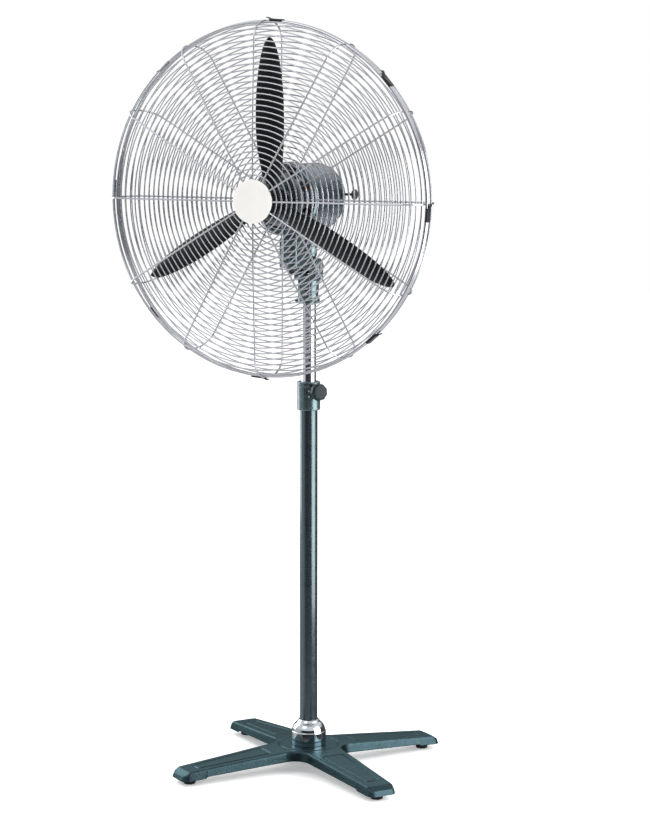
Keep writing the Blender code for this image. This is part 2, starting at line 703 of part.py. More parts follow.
def make_link():
    """Flat link from the anchor pin to just under the crank pin, where the loop is left open."""
    anchor, pin = link_ends()
    along = pin - anchor
    length = along.length
    half = 0.0045
    points = []
    for spot in range(9):
        angle = PI / 2 + PI * spot / 8
        points.append((half * 1.3 * math.cos(angle), half * 1.3 * math.sin(angle)))
    for spot in range(9):
        angle = -PI / 2 + PI * spot / 8
        points.append((length + half * math.cos(angle), half * math.sin(angle)))
    link = prism("crank_link", points, 0.0050, "zinc")
    turn = Matrix.Rotation(math.atan2(along.y, along.x), 4, "Z")
    link.matrix_world = Matrix.Translation((anchor.x, anchor.y, LINK_Z)) @ turn
    cut_hole(link, LINK_PIN_R + GAP, (anchor.x, anchor.y, 1.24), (anchor.x, anchor.y, 1.28), 12)
    return link


def make_clutch_knob():
    """Pull knob of the oscillation clutch, on a stem through the side of the gear housing."""
    profile = [(0, 0.1140), (0.0110, 0.1140), (0.0125, 0.1125), (0.0125, 0.1075), (0.0110, 0.1060)]
    profile += [(0.0030, 0.1060), (0.0030, 0.0640), (0.0060, 0.0640), (0.0060, 0.0600), (0, 0.0600)]
    return place(turned("oscillation_knob", profile, "knob", 20), (0, CLUTCH_Y, CLUTCH_Z), (1, 0, 0))


# ---- switch box -----------------------------------------------------------------------------------------------

BOX_X = 0.021
BOX_FRONT_Y = -0.1000
BOX_BACK_Y = -0.0600
BOX_BOTTOM_Z = 1.1960
BOX_MIDDLE_Y = (BOX_FRONT_Y + BOX_BACK_Y) / 2


def make_switch_box():
    """Box under the motor, saddled to its round side and open to the front, where the lid closes it."""
    shell = box("switch_box", (2 * BOX_X, BOX_BACK_Y - BOX_FRONT_Y, 1.3 - BOX_BOTTOM_Z), "enamel")
    shell.location = (0, BOX_MIDDLE_Y, (1.3 + BOX_BOTTOM_Z) / 2)
    bevelled(shell, 0.003)
    wall = 0.0025
    hollow = box_tool("box_hollow", (-BOX_X + wall, -0.2, BOX_BOTTOM_Z + wall),
                      (BOX_X - wall, BOX_BACK_Y - wall, 1.2655))
    cut(shell, hollow)
    saddle = [(BELL_R + GAP, 0.15), (BELL_R + GAP, -BELL_BACK_Y), (MOTOR_R + GAP, -BELL_BACK_Y - GAP)]
    saddle = [(0, 0.15)] + saddle + [(MOTOR_R + GAP, 0.0), (0, 0.0)]
    cut(shell, facing(turned("box_saddle", saddle, steps=64, group=CUTTERS)))
    cut_hole(shell, 0.0033, (0, BOX_MIDDLE_Y, 1.19), (0, BOX_MIDDLE_Y, 1.205), 12)
    cut_hole(shell, 0.0063, (0, -0.066, 1.212), (0, -0.050, 1.212), 16)
    lid_high = 1.2650
    lid = box("switch_box_lid", (2 * BOX_X - 0.001, 0.0025, lid_high - BOX_BOTTOM_Z), "enamel")
    lid.location = (0, BOX_FRONT_Y - GAP - 0.00125, (lid_high + BOX_BOTTOM_Z) / 2)
    bevelled(lid, 0.0008)
    return shell, lid


def make_switch_parts():
    body = box("speed_switch", (0.028, 0.024, 0.018), "plastic")
    body.location = (0, BOX_MIDDLE_Y, 1.2092)
    bevelled(body, 0.001)
    join_boss(body, 0.0030, (0, BOX_MIDDLE_Y, 1.1840), (0, BOX_MIDDLE_Y, 1.2050), 12)
    profile = [(0, 1.1835), (0.0033, 1.1835), (0.0033, 1.1957), (0.0120, 1.1957), (0.0110, 1.1830)]
    knob = turned("speed_knob", profile + [(0.0095, 1.1815), (0, 1.1815)], "knob", 16)
    knob.location = (0, BOX_MIDDLE_Y, 0)
    can = rod("capacitor", 0.0115, 1.2230, 1.2560, "aluminium", 20)
    can.location = (0, BOX_MIDDLE_Y, 0)
    loop = [(0.0060, -0.0040), (0.0060, 0.0030), (0.0085, 0.0030), (0.0085, 0.0110), (0.0060, 0.0130)]
    loop = [(0.0035, 0.0130)] + loop[::-1] + [(0.0035, -0.0040)]
    gland = turned("cable_gland", loop, "plastic", 16, ring=True)
    place(gland, (0, BOX_BACK_Y - 0.0027, 1.212), (0, 1, 0))
    return body, knob, can, gland


# ---- fan and guards -------------------------------------------------------------------------------------------

def blade_point(radius, chord_share, lift=0.0):
    """Twisted, cambered blade that points up. The right-hand edge leads and lies further back."""
    span = (radius - 0.05) / (BLADE_TIP_R - 0.05)
    pitch = math.radians(30 - 18 * span)
    root = min(1.0, max(0.0, 1 - span / BLADE_WIDEST))
    tip = max(0.0, (span - BLADE_WIDEST) / (1 - BLADE_WIDEST))
    width = BLADE_CHORD * (1 - 0.36 * root ** 2) * max(0.28, math.sqrt(max(0.0, 1 - tip ** 2.1)))
    across = chord_share * width / 2 + 0.005 * root ** 2
    camber = 0.006 * (1 - chord_share ** 2)
    x = across * math.cos(pitch) + (camber + lift) * math.sin(pitch)
    y = across * math.sin(pitch) - (camber + lift) * math.cos(pitch)
    return Vector((x, BLADE_Y + y, radius))


def loft_blade(name, radii, shares, lift, thickness, finish=None, group=None):
    bm = bmesh.new()
    rows = [[bm.verts.new(blade_point(radius, share, lift)) for share in shares] for radius in radii]
    for low, high in zip(rows, rows[1:]):
        for a, b, c, d in zip(low, low[1:], high[1:], high):
            bm.faces.new((a, b, c, d))
    obj = from_bmesh(name, bm, finish, group)
    skin = obj.modifiers.new("sheet", "SOLIDIFY")
    skin.thickness = thickness
    skin.offset = 0
    return obj


def make_fan():
    """Hub with three pitched arms, and a sheet blade on the front of each arm."""
    hub = facing(tube("fan_hub", 0.0300, SHAFT_R + GAP, 0.1700, 0.1960, "black", 24))
    blades = []
    for index in range(BLADES):
        turn = Matrix.Translation((0, 0, HUB_Z)) @ Matrix.Rotation(index * 2 * PI / BLADES, 4, "Y")
        arm = loft_blade("hub_arm", (0.020, 0.050, 0.075, 0.100), (-0.6, 0.0, 0.6), -0.0022, 0.003, group=CUTTERS)
        arm.matrix_world = turn
        join(hub, arm)
        radii = (0.0380, 0.080, 0.125, 0.170, 0.215, 0.255, 0.290, 0.316, 0.337, 0.353, 0.3615)
        blade = loft_blade(f"blade_{index + 1}", radii, (-1.0, -0.5, 0.0, 0.5, 1.0), 0.0010, 0.002, "black")
        blade.matrix_world = turn
        blades.append(blade)
    profile = [(SHAFT_R + GAP, 0.2110), (0.0100, 0.2110), (0.0130, 0.2080), (0.0130, 0.1963), (SHAFT_R + GAP, 0.1963)]
    nut = facing(turned("fan_nut", profile, "zinc", 16, ring=True))
    return hub, blades, nut


def guard_profile(inner_r, depth, rise):
    """Ring places from the rim inwards: rounded side wall and then a shallow dome, as (radius, depth)."""
    points = []
    for angle in (0, 45, 90):
        turn = math.radians(angle)
        points.append((GUARD_R - 0.003 - GUARD_CORNER * (1 - math.cos(turn)), depth * math.sin(turn)))
    flat = 4
    start_r = points[-1][0]
    for step in range(1, flat + 1):
        share = step / flat
        points.append((start_r + (inner_r - start_r) * share, depth + rise * math.sin(share * PI / 2)))
    return points


def make_guard(name, profile, direction):
    """Welded wire guard, from a ringed dome whose edges become the wires."""
    dome = turned(name + "_dome", profile, steps=GUARD_SEGMENTS, group=CUTTERS)
    bpy.context.view_layer.update()
    mesh = bpy.data.meshes.new_from_object(dome.evaluated_get(bpy.context.evaluated_depsgraph_get()))
    bpy.data.objects.remove(dome, do_unlink=True)
    bm = bmesh.new()
    bm.from_mesh(mesh)
    extra = []
    for edge in bm.edges:
        a, b = (vert.co for vert in edge.verts)
        radial = abs(a.to_2d().length - b.to_2d().length) > 0.001
        spot = math.degrees(math.atan2(a.y, a.x)) / (360 / SPOKES)
        if radial and abs(spot - round(spot)) > 0.1:
            extra.append(edge)
    bmesh.ops.dissolve_edges(bm, edges=extra, use_verts=False)
    guard = from_bmesh(name, bm, "chrome_wire")
    thin = guard.vertex_groups.new(name="wire")
    for vert in guard.data.vertices:
        at_rim = vert.co.to_2d().length > GUARD_R - 0.01 and abs(vert.co.z) < 0.001
        thin.add([vert.index], 1.0 if at_rim else 0.62, "REPLACE")
    wires = guard.modifiers.new("wires", "WIREFRAME")
    wires.thickness = 0.006
    wires.vertex_group = "wire"
    wires.use_boundary = True
    wires.use_even_offset = False
    place(guard, (0, RIM_Y + 0.0035 * (1 if direction > 0 else -1), HUB_Z), (0, direction, 0))
    return guard


def make_guards():
    front = make_guard("front_guard", guard_profile(0.0460, 0.0535, 0.009), -1)
    rear = make_guard("rear_guard", guard_profile(0.0555, 0.0600, 0.0020), 1)
    ring = facing(tube("guard_ring_nut", 0.0600, 0.0503, 0.1310, 0.1370, "zinc", 24))
    profile = [(0, 0.2700), (BADGE_R - 0.004, 0.2690), (BADGE_R, 0.2670), (BADGE_R, 0.2640), (0, 0.2640)]
    badge = facing(turned("front_badge", profile, "cream", 24))
    return front, rear, ring, badge


def make_clips():
    """Bridges that clamp the two rims together, each a bent strip with its ends turned in."""
    clips = []
    for index in range(CLIPS):
        angle = CLIP_TURN + index * 2 * PI / CLIPS
        clip = box(f"rim_clip_{index + 1}", (0.0016, 0.0172, CLIP_LONG), "black")
        out = Matrix.Rotation(-angle, 4, "Y") @ Matrix.Translation((GUARD_R + 0.0016, 0, 0))
        clip.matrix_world = Matrix.Translation((0, RIM_Y, HUB_Z)) @ out
        for side in (-1, 1):
            lip = box("clip_lip", (0.0070, 0.0015, CLIP_LONG - 0.001), group=CUTTERS)
            lip.matrix_world = clip.matrix_world @ Matrix.Translation((-0.0030, side * 0.0078, 0))
            join(clip, lip)
        clips.append(clip)
    return clips


# ---- assembly -------------------------------------------------------------------------------------------------

def main():
    make_base()
    make_foot_pads()
    make_pole()
    make_collar()
    wheel_at, crank_at = crank_axis()
    anchor = link_ends()[0]
    lock = axis_empty("height_lock_axis", (0, 0, LOCK_Z))
    hang(make_lock(), lock)
    mast = axis_empty("mast_axis", (0, 0, 0))
    bolt, tilt_knob = make_tilt_hardware()
    hang(make_mast() + [make_neck(), bolt], mast)
    hang([tilt_knob], axis_empty("tilt_lock_axis", (0, 0, TILT_Z), mast))
    tilt = axis_empty("tilt_axis", (0, 0, TILT_Z), mast)
    bush, pin = make_swivel()
    hang([make_tilt_bracket(), bush], tilt)
    hang([make_link()], axis_empty("link_axis", (anchor.x, anchor.y, LINK_Z), tilt))
    head = axis_empty("swivel_axis", (0, 0, HUB_Z), tilt)
    front, rear, ring, badge = make_guards()
    switch, speed_knob, can, gland = make_switch_parts()
    hang([pin, make_front_cover(), make_rear_cover(), *make_gearbox(), *make_stator(), *make_bearings()], head)
    hang([*make_switch_box(), switch, can, gland, front, rear, ring, badge, *make_clips()], head)
    hang([speed_knob], axis_empty("speed_axis", (0, BOX_MIDDLE_Y, 1.19), head))
    hang([make_clutch_knob()], axis_empty("clutch_axis", (0, CLUTCH_Y, CLUTCH_Z), head))
    wheel, gear, disc = make_gears()
    hang([wheel], axis_empty("wheel_axis", (wheel_at.x, wheel_at.y, HUB_Z), head))
    hang([gear, disc], axis_empty("crank_axis", (crank_at.x, crank_at.y, CRANK_Z), head))
    hub, blades, nut = make_fan()
    hang([*make_rotor(), hub, nut, *blades], axis_empty("fan_axis", (0, 0, HUB_Z), head))


FINISHES = {
    "enamel": (GREEN, 0.42, 0.35),
    "chrome": ((0.80, 0.80, 0.82), 0.08, 1.0),
    "chrome_wire": ((0.78, 0.79, 0.82), 0.15, 1.0),
    "zinc": ((0.55, 0.56, 0.58), 0.35, 1.0),
    "steel": ((0.45, 0.46, 0.48), 0.35, 1.0),
    "laminations": ((0.25, 0.25, 0.27), 0.5, 0.9),
    "copper": ((0.60, 0.28, 0.12), 0.45, 0.9),
    "brass": ((0.66, 0.50, 0.22), 0.35, 1.0),
    "aluminium": ((0.70, 0.71, 0.73), 0.35, 1.0),
    "rubber": ((0.015, 0.015, 0.015), 0.8, 0.0),
    "plastic": ((0.03, 0.03, 0.03), 0.5, 0.0),
    "nylon": ((0.80, 0.78, 0.70), 0.5, 0.0),
    "knob": ((0.030, 0.050, 0.060), 0.45, 0.0),
    "black": ((0.012, 0.013, 0.014), 0.4, 0.0),
    "cream": ((0.85, 0.83, 0.74), 0.4, 0.0),
}

clear_scene()
PARTS = new_collection("pedestal_fan")
CUTTERS = new_collection("cutters", hidden=True)
main()
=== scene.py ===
"""Looks of the pedestal fan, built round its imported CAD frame.

Metres, +Z up. The mast stands on the world Z axis, the floor is z = 0, and the fan blows towards -Y.
"""

from math import cos, pi, radians, sin, sqrt

import bmesh
import bpy
import numpy as np
from mathutils import Matrix, Vector


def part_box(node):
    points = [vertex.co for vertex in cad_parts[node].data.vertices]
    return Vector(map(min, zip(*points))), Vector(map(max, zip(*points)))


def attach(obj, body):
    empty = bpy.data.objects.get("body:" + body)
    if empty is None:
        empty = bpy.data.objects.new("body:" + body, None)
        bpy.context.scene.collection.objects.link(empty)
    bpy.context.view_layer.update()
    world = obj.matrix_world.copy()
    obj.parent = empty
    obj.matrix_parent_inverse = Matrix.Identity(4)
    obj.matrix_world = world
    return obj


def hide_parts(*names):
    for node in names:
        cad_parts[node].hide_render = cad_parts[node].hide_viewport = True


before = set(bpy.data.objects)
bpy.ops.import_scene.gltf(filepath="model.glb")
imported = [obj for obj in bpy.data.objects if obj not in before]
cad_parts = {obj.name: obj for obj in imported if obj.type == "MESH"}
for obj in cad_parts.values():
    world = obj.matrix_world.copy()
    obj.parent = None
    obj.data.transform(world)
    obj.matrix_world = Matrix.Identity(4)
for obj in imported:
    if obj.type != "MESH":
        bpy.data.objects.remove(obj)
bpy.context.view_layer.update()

# ---- dimensions, the same as the CAD's ----

HUB_Z = sum(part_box("fan_nut")[i].z for i in (0, 1)) / 2
BASE_TURN = -32.5
LEGS = 4
FOOT_R = 0.318
LEG_END_R = 0.343
WEB_R = 0.08
BASE_TOP_Z = 0.054
TIP_TOP_Z = 0.034
WEB_BOTTOM_Z = 0.027
TIP_BOTTOM_Z = 0.0135
LEG_FILLET = 0.052
TIP_HALF = 0.029
TIP_CUT = 0.008

POLE_R = 0.021
POLE_BORE = 0.0192
INNER_R = 0.0175
INNER_BORE = 0.0159
COLLAR_R = 0.0272
LOCK_Z = 0.904
LOCK_TURN = 57.5
TILT_Z = 1.195
EAR_HALF = 0.029
EAR_R = 0.019
TONGUE_HALF = 0.011
MOTOR_R = 0.079
BELL_R = 0.084
CLUTCH_Y = 0.02
CLUTCH_Z = HUB_Z + 0.0075
ANCHOR = (-0.005, 0.022)

GUARD_R = 0.397
GUARD_CORNER = 0.036
RIM_FRONT_Y = -0.1975
RIM_REAR_Y = -0.1905
RIM_Y = (RIM_FRONT_Y + RIM_REAR_Y) / 2
RIBS = 12
CLIPS = 8
CLIP_TURN = -3.5
RIM_WIRE = 0.0033
RIB_WIRE = 0.002
RING_WIRE = 0.00155
INNER_RING_WIRE = 0.0024
RING_SINK = 0.0006              # how far the rings lie inside the rims' line
WELD = 0.0009                   # how far a rib sinks into the rings
RING_PITCH = 0.0125

BLADES = 3
BLADE_Y = -0.183
BLADE_TIP_R = 0.362
BLADE_CHORD = 0.0645
BLADE_WIDEST = 0.42             # share of the span
BLADE_SPAN_START = 0.05         # radius at which the span's share is zero
BLADE_ROOT_R = 0.036            # radius of the blade's inner end
ROOT_ROUND_R = 0.062            # the root's corners are rounded up to this radius
ROOT_NARROWING = 0.36
ROOT_OFFSET = 0.005
TIP_POWER = 2.1
ROOT_CORNER_SHARE = 0.62        # share of the width left at the root's very end
CAMBER = 0.006
ROOT_PITCH, TWIST = 30, 18      # degrees
BLADE_SHEET = 0.002
EVEN_RUN, EVEN_ROWS = 0.28, 44  # mesh rows from the root, then closer ones over the tip
TIP_RUN, TIP_ROWS = 0.05, 14
ARM_START_R, ARM_RUN, ARM_ROWS = 0.02, 0.08, 20
ARM_SHARE = 0.6                 # share of the chord that the hub's arms cover
ARM_SHEET = 0.003


# ---- mesh helpers ----

def shift(x, y, z):
    return Matrix.Translation((x, y, z))


def round_z(angle):
    return Matrix.Rotation(angle, 4, "Z")


def circle(count):
    turns = [2 * pi * i / count for i in range(count)]
    return [(cos(turn), sin(turn)) for turn in turns]


def rod(radius, start, end):
    """Profile of a plain cylinder between two heights."""
    return [(0, start), (radius, start), (radius, end), (0, end)]


def bridge(bm, a, b, closed=True):
    """Faces between two rows of the same length, or between a row and a single point."""
    count = max(len(a), len(b))
    if count == 1:
        return
    for i in range(count if closed else count - 1):
        k = (i + 1) % count
        if len(a) == 1:
            bm.faces.new((a[0], b[i], b[k]))
        elif len(b) == 1:
            bm.faces.new((a[i], b[0], a[k]))
        else:
            bm.faces.new((a[i], b[i], b[k], a[k]))


def spin(bm, profile, steps=96, ring=False, at=Matrix()):
    """Solid of revolution about local Z from (radius, height) points. A ring's profile is a loop."""
    around = circle(steps)
    rows = []
    for radius, height in profile:
        spots = around if radius > 1e-6 else [(0, 0)]
        rows.append([bm.verts.new(at @ Vector((radius * c, radius * s, height))) for c, s in spots])
    for a, b in zip(rows, rows[1:] + ([rows[0]] if ring else [])):
        bridge(bm, a, b)


def eased(profile, reach=0.001, ring=False, steps=4):
    """The same profile with its corners rounded off."""
    points = [Vector(p) for p in profile]
    count = len(points)
    result = []
    for i, point in enumerate(points):
        before, after = points[i - 1] - point, points[(i + 1) % count] - point
        ends = not ring and i in (0, count - 1)
        short = before.length < 1e-7 or after.length < 1e-7
        if ends or short or before.angle(after) > radians(174):
            result.append(tuple(point))
            continue
        cut = min(reach, before.length * 0.45, after.length * 0.45)
        start, end = point + before.normalized() * cut, point + after.normalized() * cut
        for step in range(steps + 1):
            t = step / steps
            result.append(tuple(start * (1 - t) ** 2 + point * 2 * t * (1 - t) + end * t * t))
    return result


def turned(bm, profile, ease=0.001, steps=96, ring=False, at=Matrix()):
    """Solid of revolution with the profile's corners rounded off."""
    spin(bm, eased(profile, ease, ring=ring), steps, ring=ring, at=at)


def round_wire(radius, height, wire, sides=10):
    """Cross-section of a wire ring, for spin."""
    return [(radius + wire * c, height + wire * s) for c, s in circle(sides)]


def sweep(bm, points, wire, sides=10):
    """Round wire with closed ends along the points."""
    points = [Vector(p) for p in points]
    normal = None
    last = None
    for i, point in enumerate(points):
        tangent = (points[min(i + 1, len(points) - 1)] - points[max(i - 1, 0)]).normalized()
        normal = tangent.orthogonal().normalized() if normal is None else normal
        normal = (normal - tangent * normal.dot(tangent)).normalized()
        side = tangent.cross(normal)
        row = [bm.verts.new(point + (normal * c + side * s) * wire) for c, s in circle(sides)]
        if last is None:
            bm.faces.new(row[::-1])
        else:
            bridge(bm, last, row)
        last = row
    bm.faces.new(last)


def inset(outline, distance):
    """A closed 2D outline, moved inwards by a small distance. It runs anticlockwise."""
    points = [Vector(p) for p in outline]
    result = []
    for i, point in enumerate(points):
        before = (point - points[i - 1]).normalized()
        after = (points[(i + 1) % len(points)] - point).normalized()
        inward = Vector((-before.y - after.y, before.x + after.x))
        scale = max(0.35, inward.length / 2)
        result.append(tuple(point + inward.normalized() * distance / scale))
    return result


def slab(bm, outline, low, high, ease=0.001, at=Matrix()):
    """A 2D outline extruded along local Z, with its rims rounded off."""
    layers = [(low, ease), (low + ease * 0.3, ease * 0.3), (low + ease, 0)]
    layers += [(high - ease, 0), (high - ease * 0.3, ease * 0.3), (high, ease)]
    rows = []
    for height, depth in layers:
        shape = inset(outline, depth) if depth else outline
        rows.append([bm.verts.new(at @ Vector((x, y, height))) for x, y in shape])
    for a, b in zip(rows, rows[1:]):
        bridge(bm, a, b)
    bm.faces.new(rows[0][::-1])
    bm.faces.new(rows[-1])


def rounded_box(width, height, corner, steps=5):
    """Rounded rectangle outline about the origin."""
    points = []
    for quarter, (sx, sy) in enumerate(((1, 1), (-1, 1), (-1, -1), (1, -1))):
        for step in range(steps + 1):
            angle = pi / 2 * (quarter + step / steps)
            x = sx * (width / 2 - corner) + corner * cos(angle)
            points.append((x, sy * (height / 2 - corner) + corner * sin(angle)))
    return points


def lobed(radius, lobes, depth, steps=8):
    """Wavy hand-grip outline."""
    count = lobes * steps
    points = []
    for i in range(count):
        angle = 2 * pi * i / count
        r = radius - depth * (0.5 - 0.5 * cos(angle * lobes))
        points.append((r * cos(angle), r * sin(angle)))
    return points


def hexagon(radius):
    return [(radius * c, radius * s) for c, s in circle(6)]


def facing(direction, at=(0, 0, 0)):
    """Turns local +Z to a direction and moves the origin."""
    turn = Vector((0, 0, 1)).rotation_difference(Vector(direction))
    return Matrix.Translation(at) @ turn.to_matrix().to_4x4()


def heading(degrees, reach=1.0, z=0.0):
    """Horizontal vector, measured from the fan's front towards +X."""
    angle = radians(degrees)
    return Vector((reach * sin(angle), -reach * cos(angle), z))


FAN_AXIS = facing((0, -1, 0), (0, 0, HUB_Z))      # local height h is world y = -h


def put(name, data):
    obj = bpy.data.objects.new(name, data)
    bpy.context.scene.collection.objects.link(obj)
    return obj


def put_mesh(name, bm):
    """An object from a bmesh, which is freed."""
    mesh = bpy.data.meshes.new(name)
    bm.to_mesh(mesh)
    bm.free()
    return put(name, mesh)


def piece(name, bm, finish, body, *nodes, sharp=40):
    """Makes the visible piece from its mesh, in the row frame."""
    bmesh.ops.recalc_face_normals(bm, faces=bm.faces)
    obj = put_mesh(name, bm)
    obj.data.shade_smooth()
    obj.data.set_sharp_from_angle(angle=radians(sharp))
    material, slot = FINISHES[finish]
    obj.data.materials.append(material)
    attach(obj, body)
    if nodes:
        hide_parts(*nodes)
    return obj


def carved(bm, tool):
    """bm less the tool, both given as bmeshes."""
    for source in (bm, tool):
        bmesh.ops.recalc_face_normals(source, faces=source.faces)
    objects = [put_mesh("carving", source) for source in (bm, tool)]
    modifier = objects[0].modifiers.new("cut", "BOOLEAN")
    modifier.object = objects[1]
    modifier.solver = "EXACT"
    bpy.context.view_layer.update()
    evaluated = objects[0].evaluated_get(bpy.context.evaluated_depsgraph_get())
    mesh = evaluated.to_mesh()
    result = bmesh.new()
    result.from_mesh(mesh)
    evaluated.to_mesh_clear()
    for obj in objects:
        bpy.data.objects.remove(obj, do_unlink=True)
    return result


def screw_head(bm, at, radius=0.0028, height=0.0016):
    """Pan head with a cross recess, standing on local z = 0."""
    dome = [(0, height), (radius * 0.55, height * 0.93), (radius * 0.85, height * 0.65)]
    spin(bm, dome + [(radius, height * 0.2), (radius, -0.0008), (0, -0.0008)], 20, at=at)
    for turn in (0, pi / 2):
        bar = at @ round_z(turn) @ shift(0, 0, height)
        recess = rounded_box(radius * 1.15, radius * 0.28, radius * 0.1, 2)
        slab(bm, recess, -0.0003, 0.00012, 0.00005, bar)


# ---- materials ----

def add_node(tree, kind, **settings):
    node = tree.nodes.new(kind)
    for key, value in settings.items():
        setattr(node, key, value)
    return node


def fill(node, **values):
    """Sets a node's inputs by name, with _ for a space."""
    for key, value in values.items():
        node.inputs[key.replace("_", " ")].default_value = value


def colour_sockets(sockets):
    return [socket for socket in sockets if socket.type == "RGBA"]


class Nodes:
    """Short hand for a material's nodes."""

    def __init__(self, name):
        self.material = bpy.data.materials.new(name)
        self.material.use_nodes = True
        self.tree = self.material.node_tree
        self.shader = self.tree.nodes["Principled BSDF"]
        self.coords = self.add("ShaderNodeTexCoord").outputs["Object"]

    def add(self, kind, **settings):
        return add_node(self.tree, kind, **settings)

    def link(self, output, socket):
        self.tree.links.new(output, socket)

    def noise(self, scale, detail=3.0, roughness=0.55, stretch=None):
        node = self.add("ShaderNodeTexNoise")
        fill(node, Scale=scale, Detail=detail, Roughness=roughness)
        if stretch:
            mapping = self.add("ShaderNodeMapping")
            fill(mapping, Scale=stretch)
            self.link(self.coords, mapping.inputs["Vector"])
            self.link(mapping.outputs["Vector"], node.inputs["Vector"])
        else:
            self.link(self.coords, node.inputs["Vector"])
        return node.outputs["Fac"]

    def cells(self, scale):
        node = self.add("ShaderNodeTexVoronoi", feature="SMOOTH_F1")
        fill(node, Scale=scale, Smoothness=0.6)
        self.link(self.coords, node.inputs["Vector"])
        return node.outputs["Distance"]

    def ranged(self, value, low, high, start=0.3, end=0.7):
        node = self.add("ShaderNodeMapRange")
        fill(node, From_Min=start, From_Max=end, To_Min=low, To_Max=high)
        self.link(value, node.inputs["Value"])
        return node.outputs["Result"]

    def tinted(self, factor, dark, light):
        node = self.add("ShaderNodeMix", data_type="RGBA")
        for socket, colour in zip(colour_sockets(node.inputs), (dark, light)):
            socket.default_value = (*colour, 1)
        self.link(factor, node.inputs["Factor"])
        return colour_sockets(node.outputs)[0]

    def bump(self, value, strength, distance, after=None):
        node = self.add("ShaderNodeBump")
        fill(node, Strength=strength, Distance=distance)
        self.link(value, node.inputs["Height"])
        if after:
            self.link(after, node.inputs["Normal"])
        return node.outputs["Normal"]

    def set(self, **values):
        fill(self.shader, **values)


def scaled(colour, factor):
    return tuple(min(1.0, c * factor) for c in colour)


def coating(name, colour, rough, metal=0.0, vary=0.12, patch=35.0, grain=420.0, bump=0.12,
            depth=0.0003, cells=None, coat=0.0, coat_rough=0.1, specular=0.5, edge=(1, 1, 1)):
    """Painted or moulded surface: uneven tone, uneven gloss and a fine texture."""
    n = Nodes(name)
    broad, fine = n.noise(patch, 4.0), n.noise(grain, 2.0)
    n.link(n.tinted(n.ranged(broad, 0.0, 1.0), scaled(colour, 1 - vary), scaled(colour, 1 + vary)),
           n.shader.inputs["Base Color"])
    gloss = n.ranged(n.noise(patch * 3, 3.0), max(0.02, rough - 0.05), rough + 0.06)
    n.link(gloss, n.shader.inputs["Roughness"])
    normal = n.bump(fine, bump, depth)
    if cells:
        normal = n.bump(n.cells(cells), bump * 1.6, depth * 2, normal)
    n.link(normal, n.shader.inputs["Normal"])
    n.set(Metallic=metal, Coat_Weight=coat, Coat_Roughness=coat_rough, Specular_IOR_Level=specular,
          Specular_Tint=(*edge, 1))
    return n.material


def polished(name, colour, rough, vary=0.03, patch=25.0, bump=0.02, brushed=None):
    """Bare or plated metal: faint haze, faint waviness, and brush marks where they run."""
    n = Nodes(name)
    haze = n.noise(patch, 4.0)
    n.link(n.tinted(n.ranged(haze, 0.0, 1.0), scaled(colour, 0.94), scaled(colour, 1.04)),
           n.shader.inputs["Base Color"])
    gloss = n.ranged(n.noise(patch * 6, 3.0), max(0.02, rough - vary), rough + vary)
    n.link(gloss, n.shader.inputs["Roughness"])
    normal = n.bump(n.noise(90.0, 2.0), bump, 0.0004)
    if brushed:
        normal = n.bump(n.noise(60.0, 2.0, stretch=brushed), 0.25, 0.0001, normal)
    n.link(normal, n.shader.inputs["Normal"])
    n.set(Metallic=1.0)
    return n.material


ENAMEL = (0.11, 0.158, 0.172)
# Painted shade: the lower pole's enamel is a darker copy of ENAMEL, in the same slot, so the pole looks
# darker than the neck and collar.
SHADED_POLE_ENAMEL = (0.07, 0.1, 0.113)
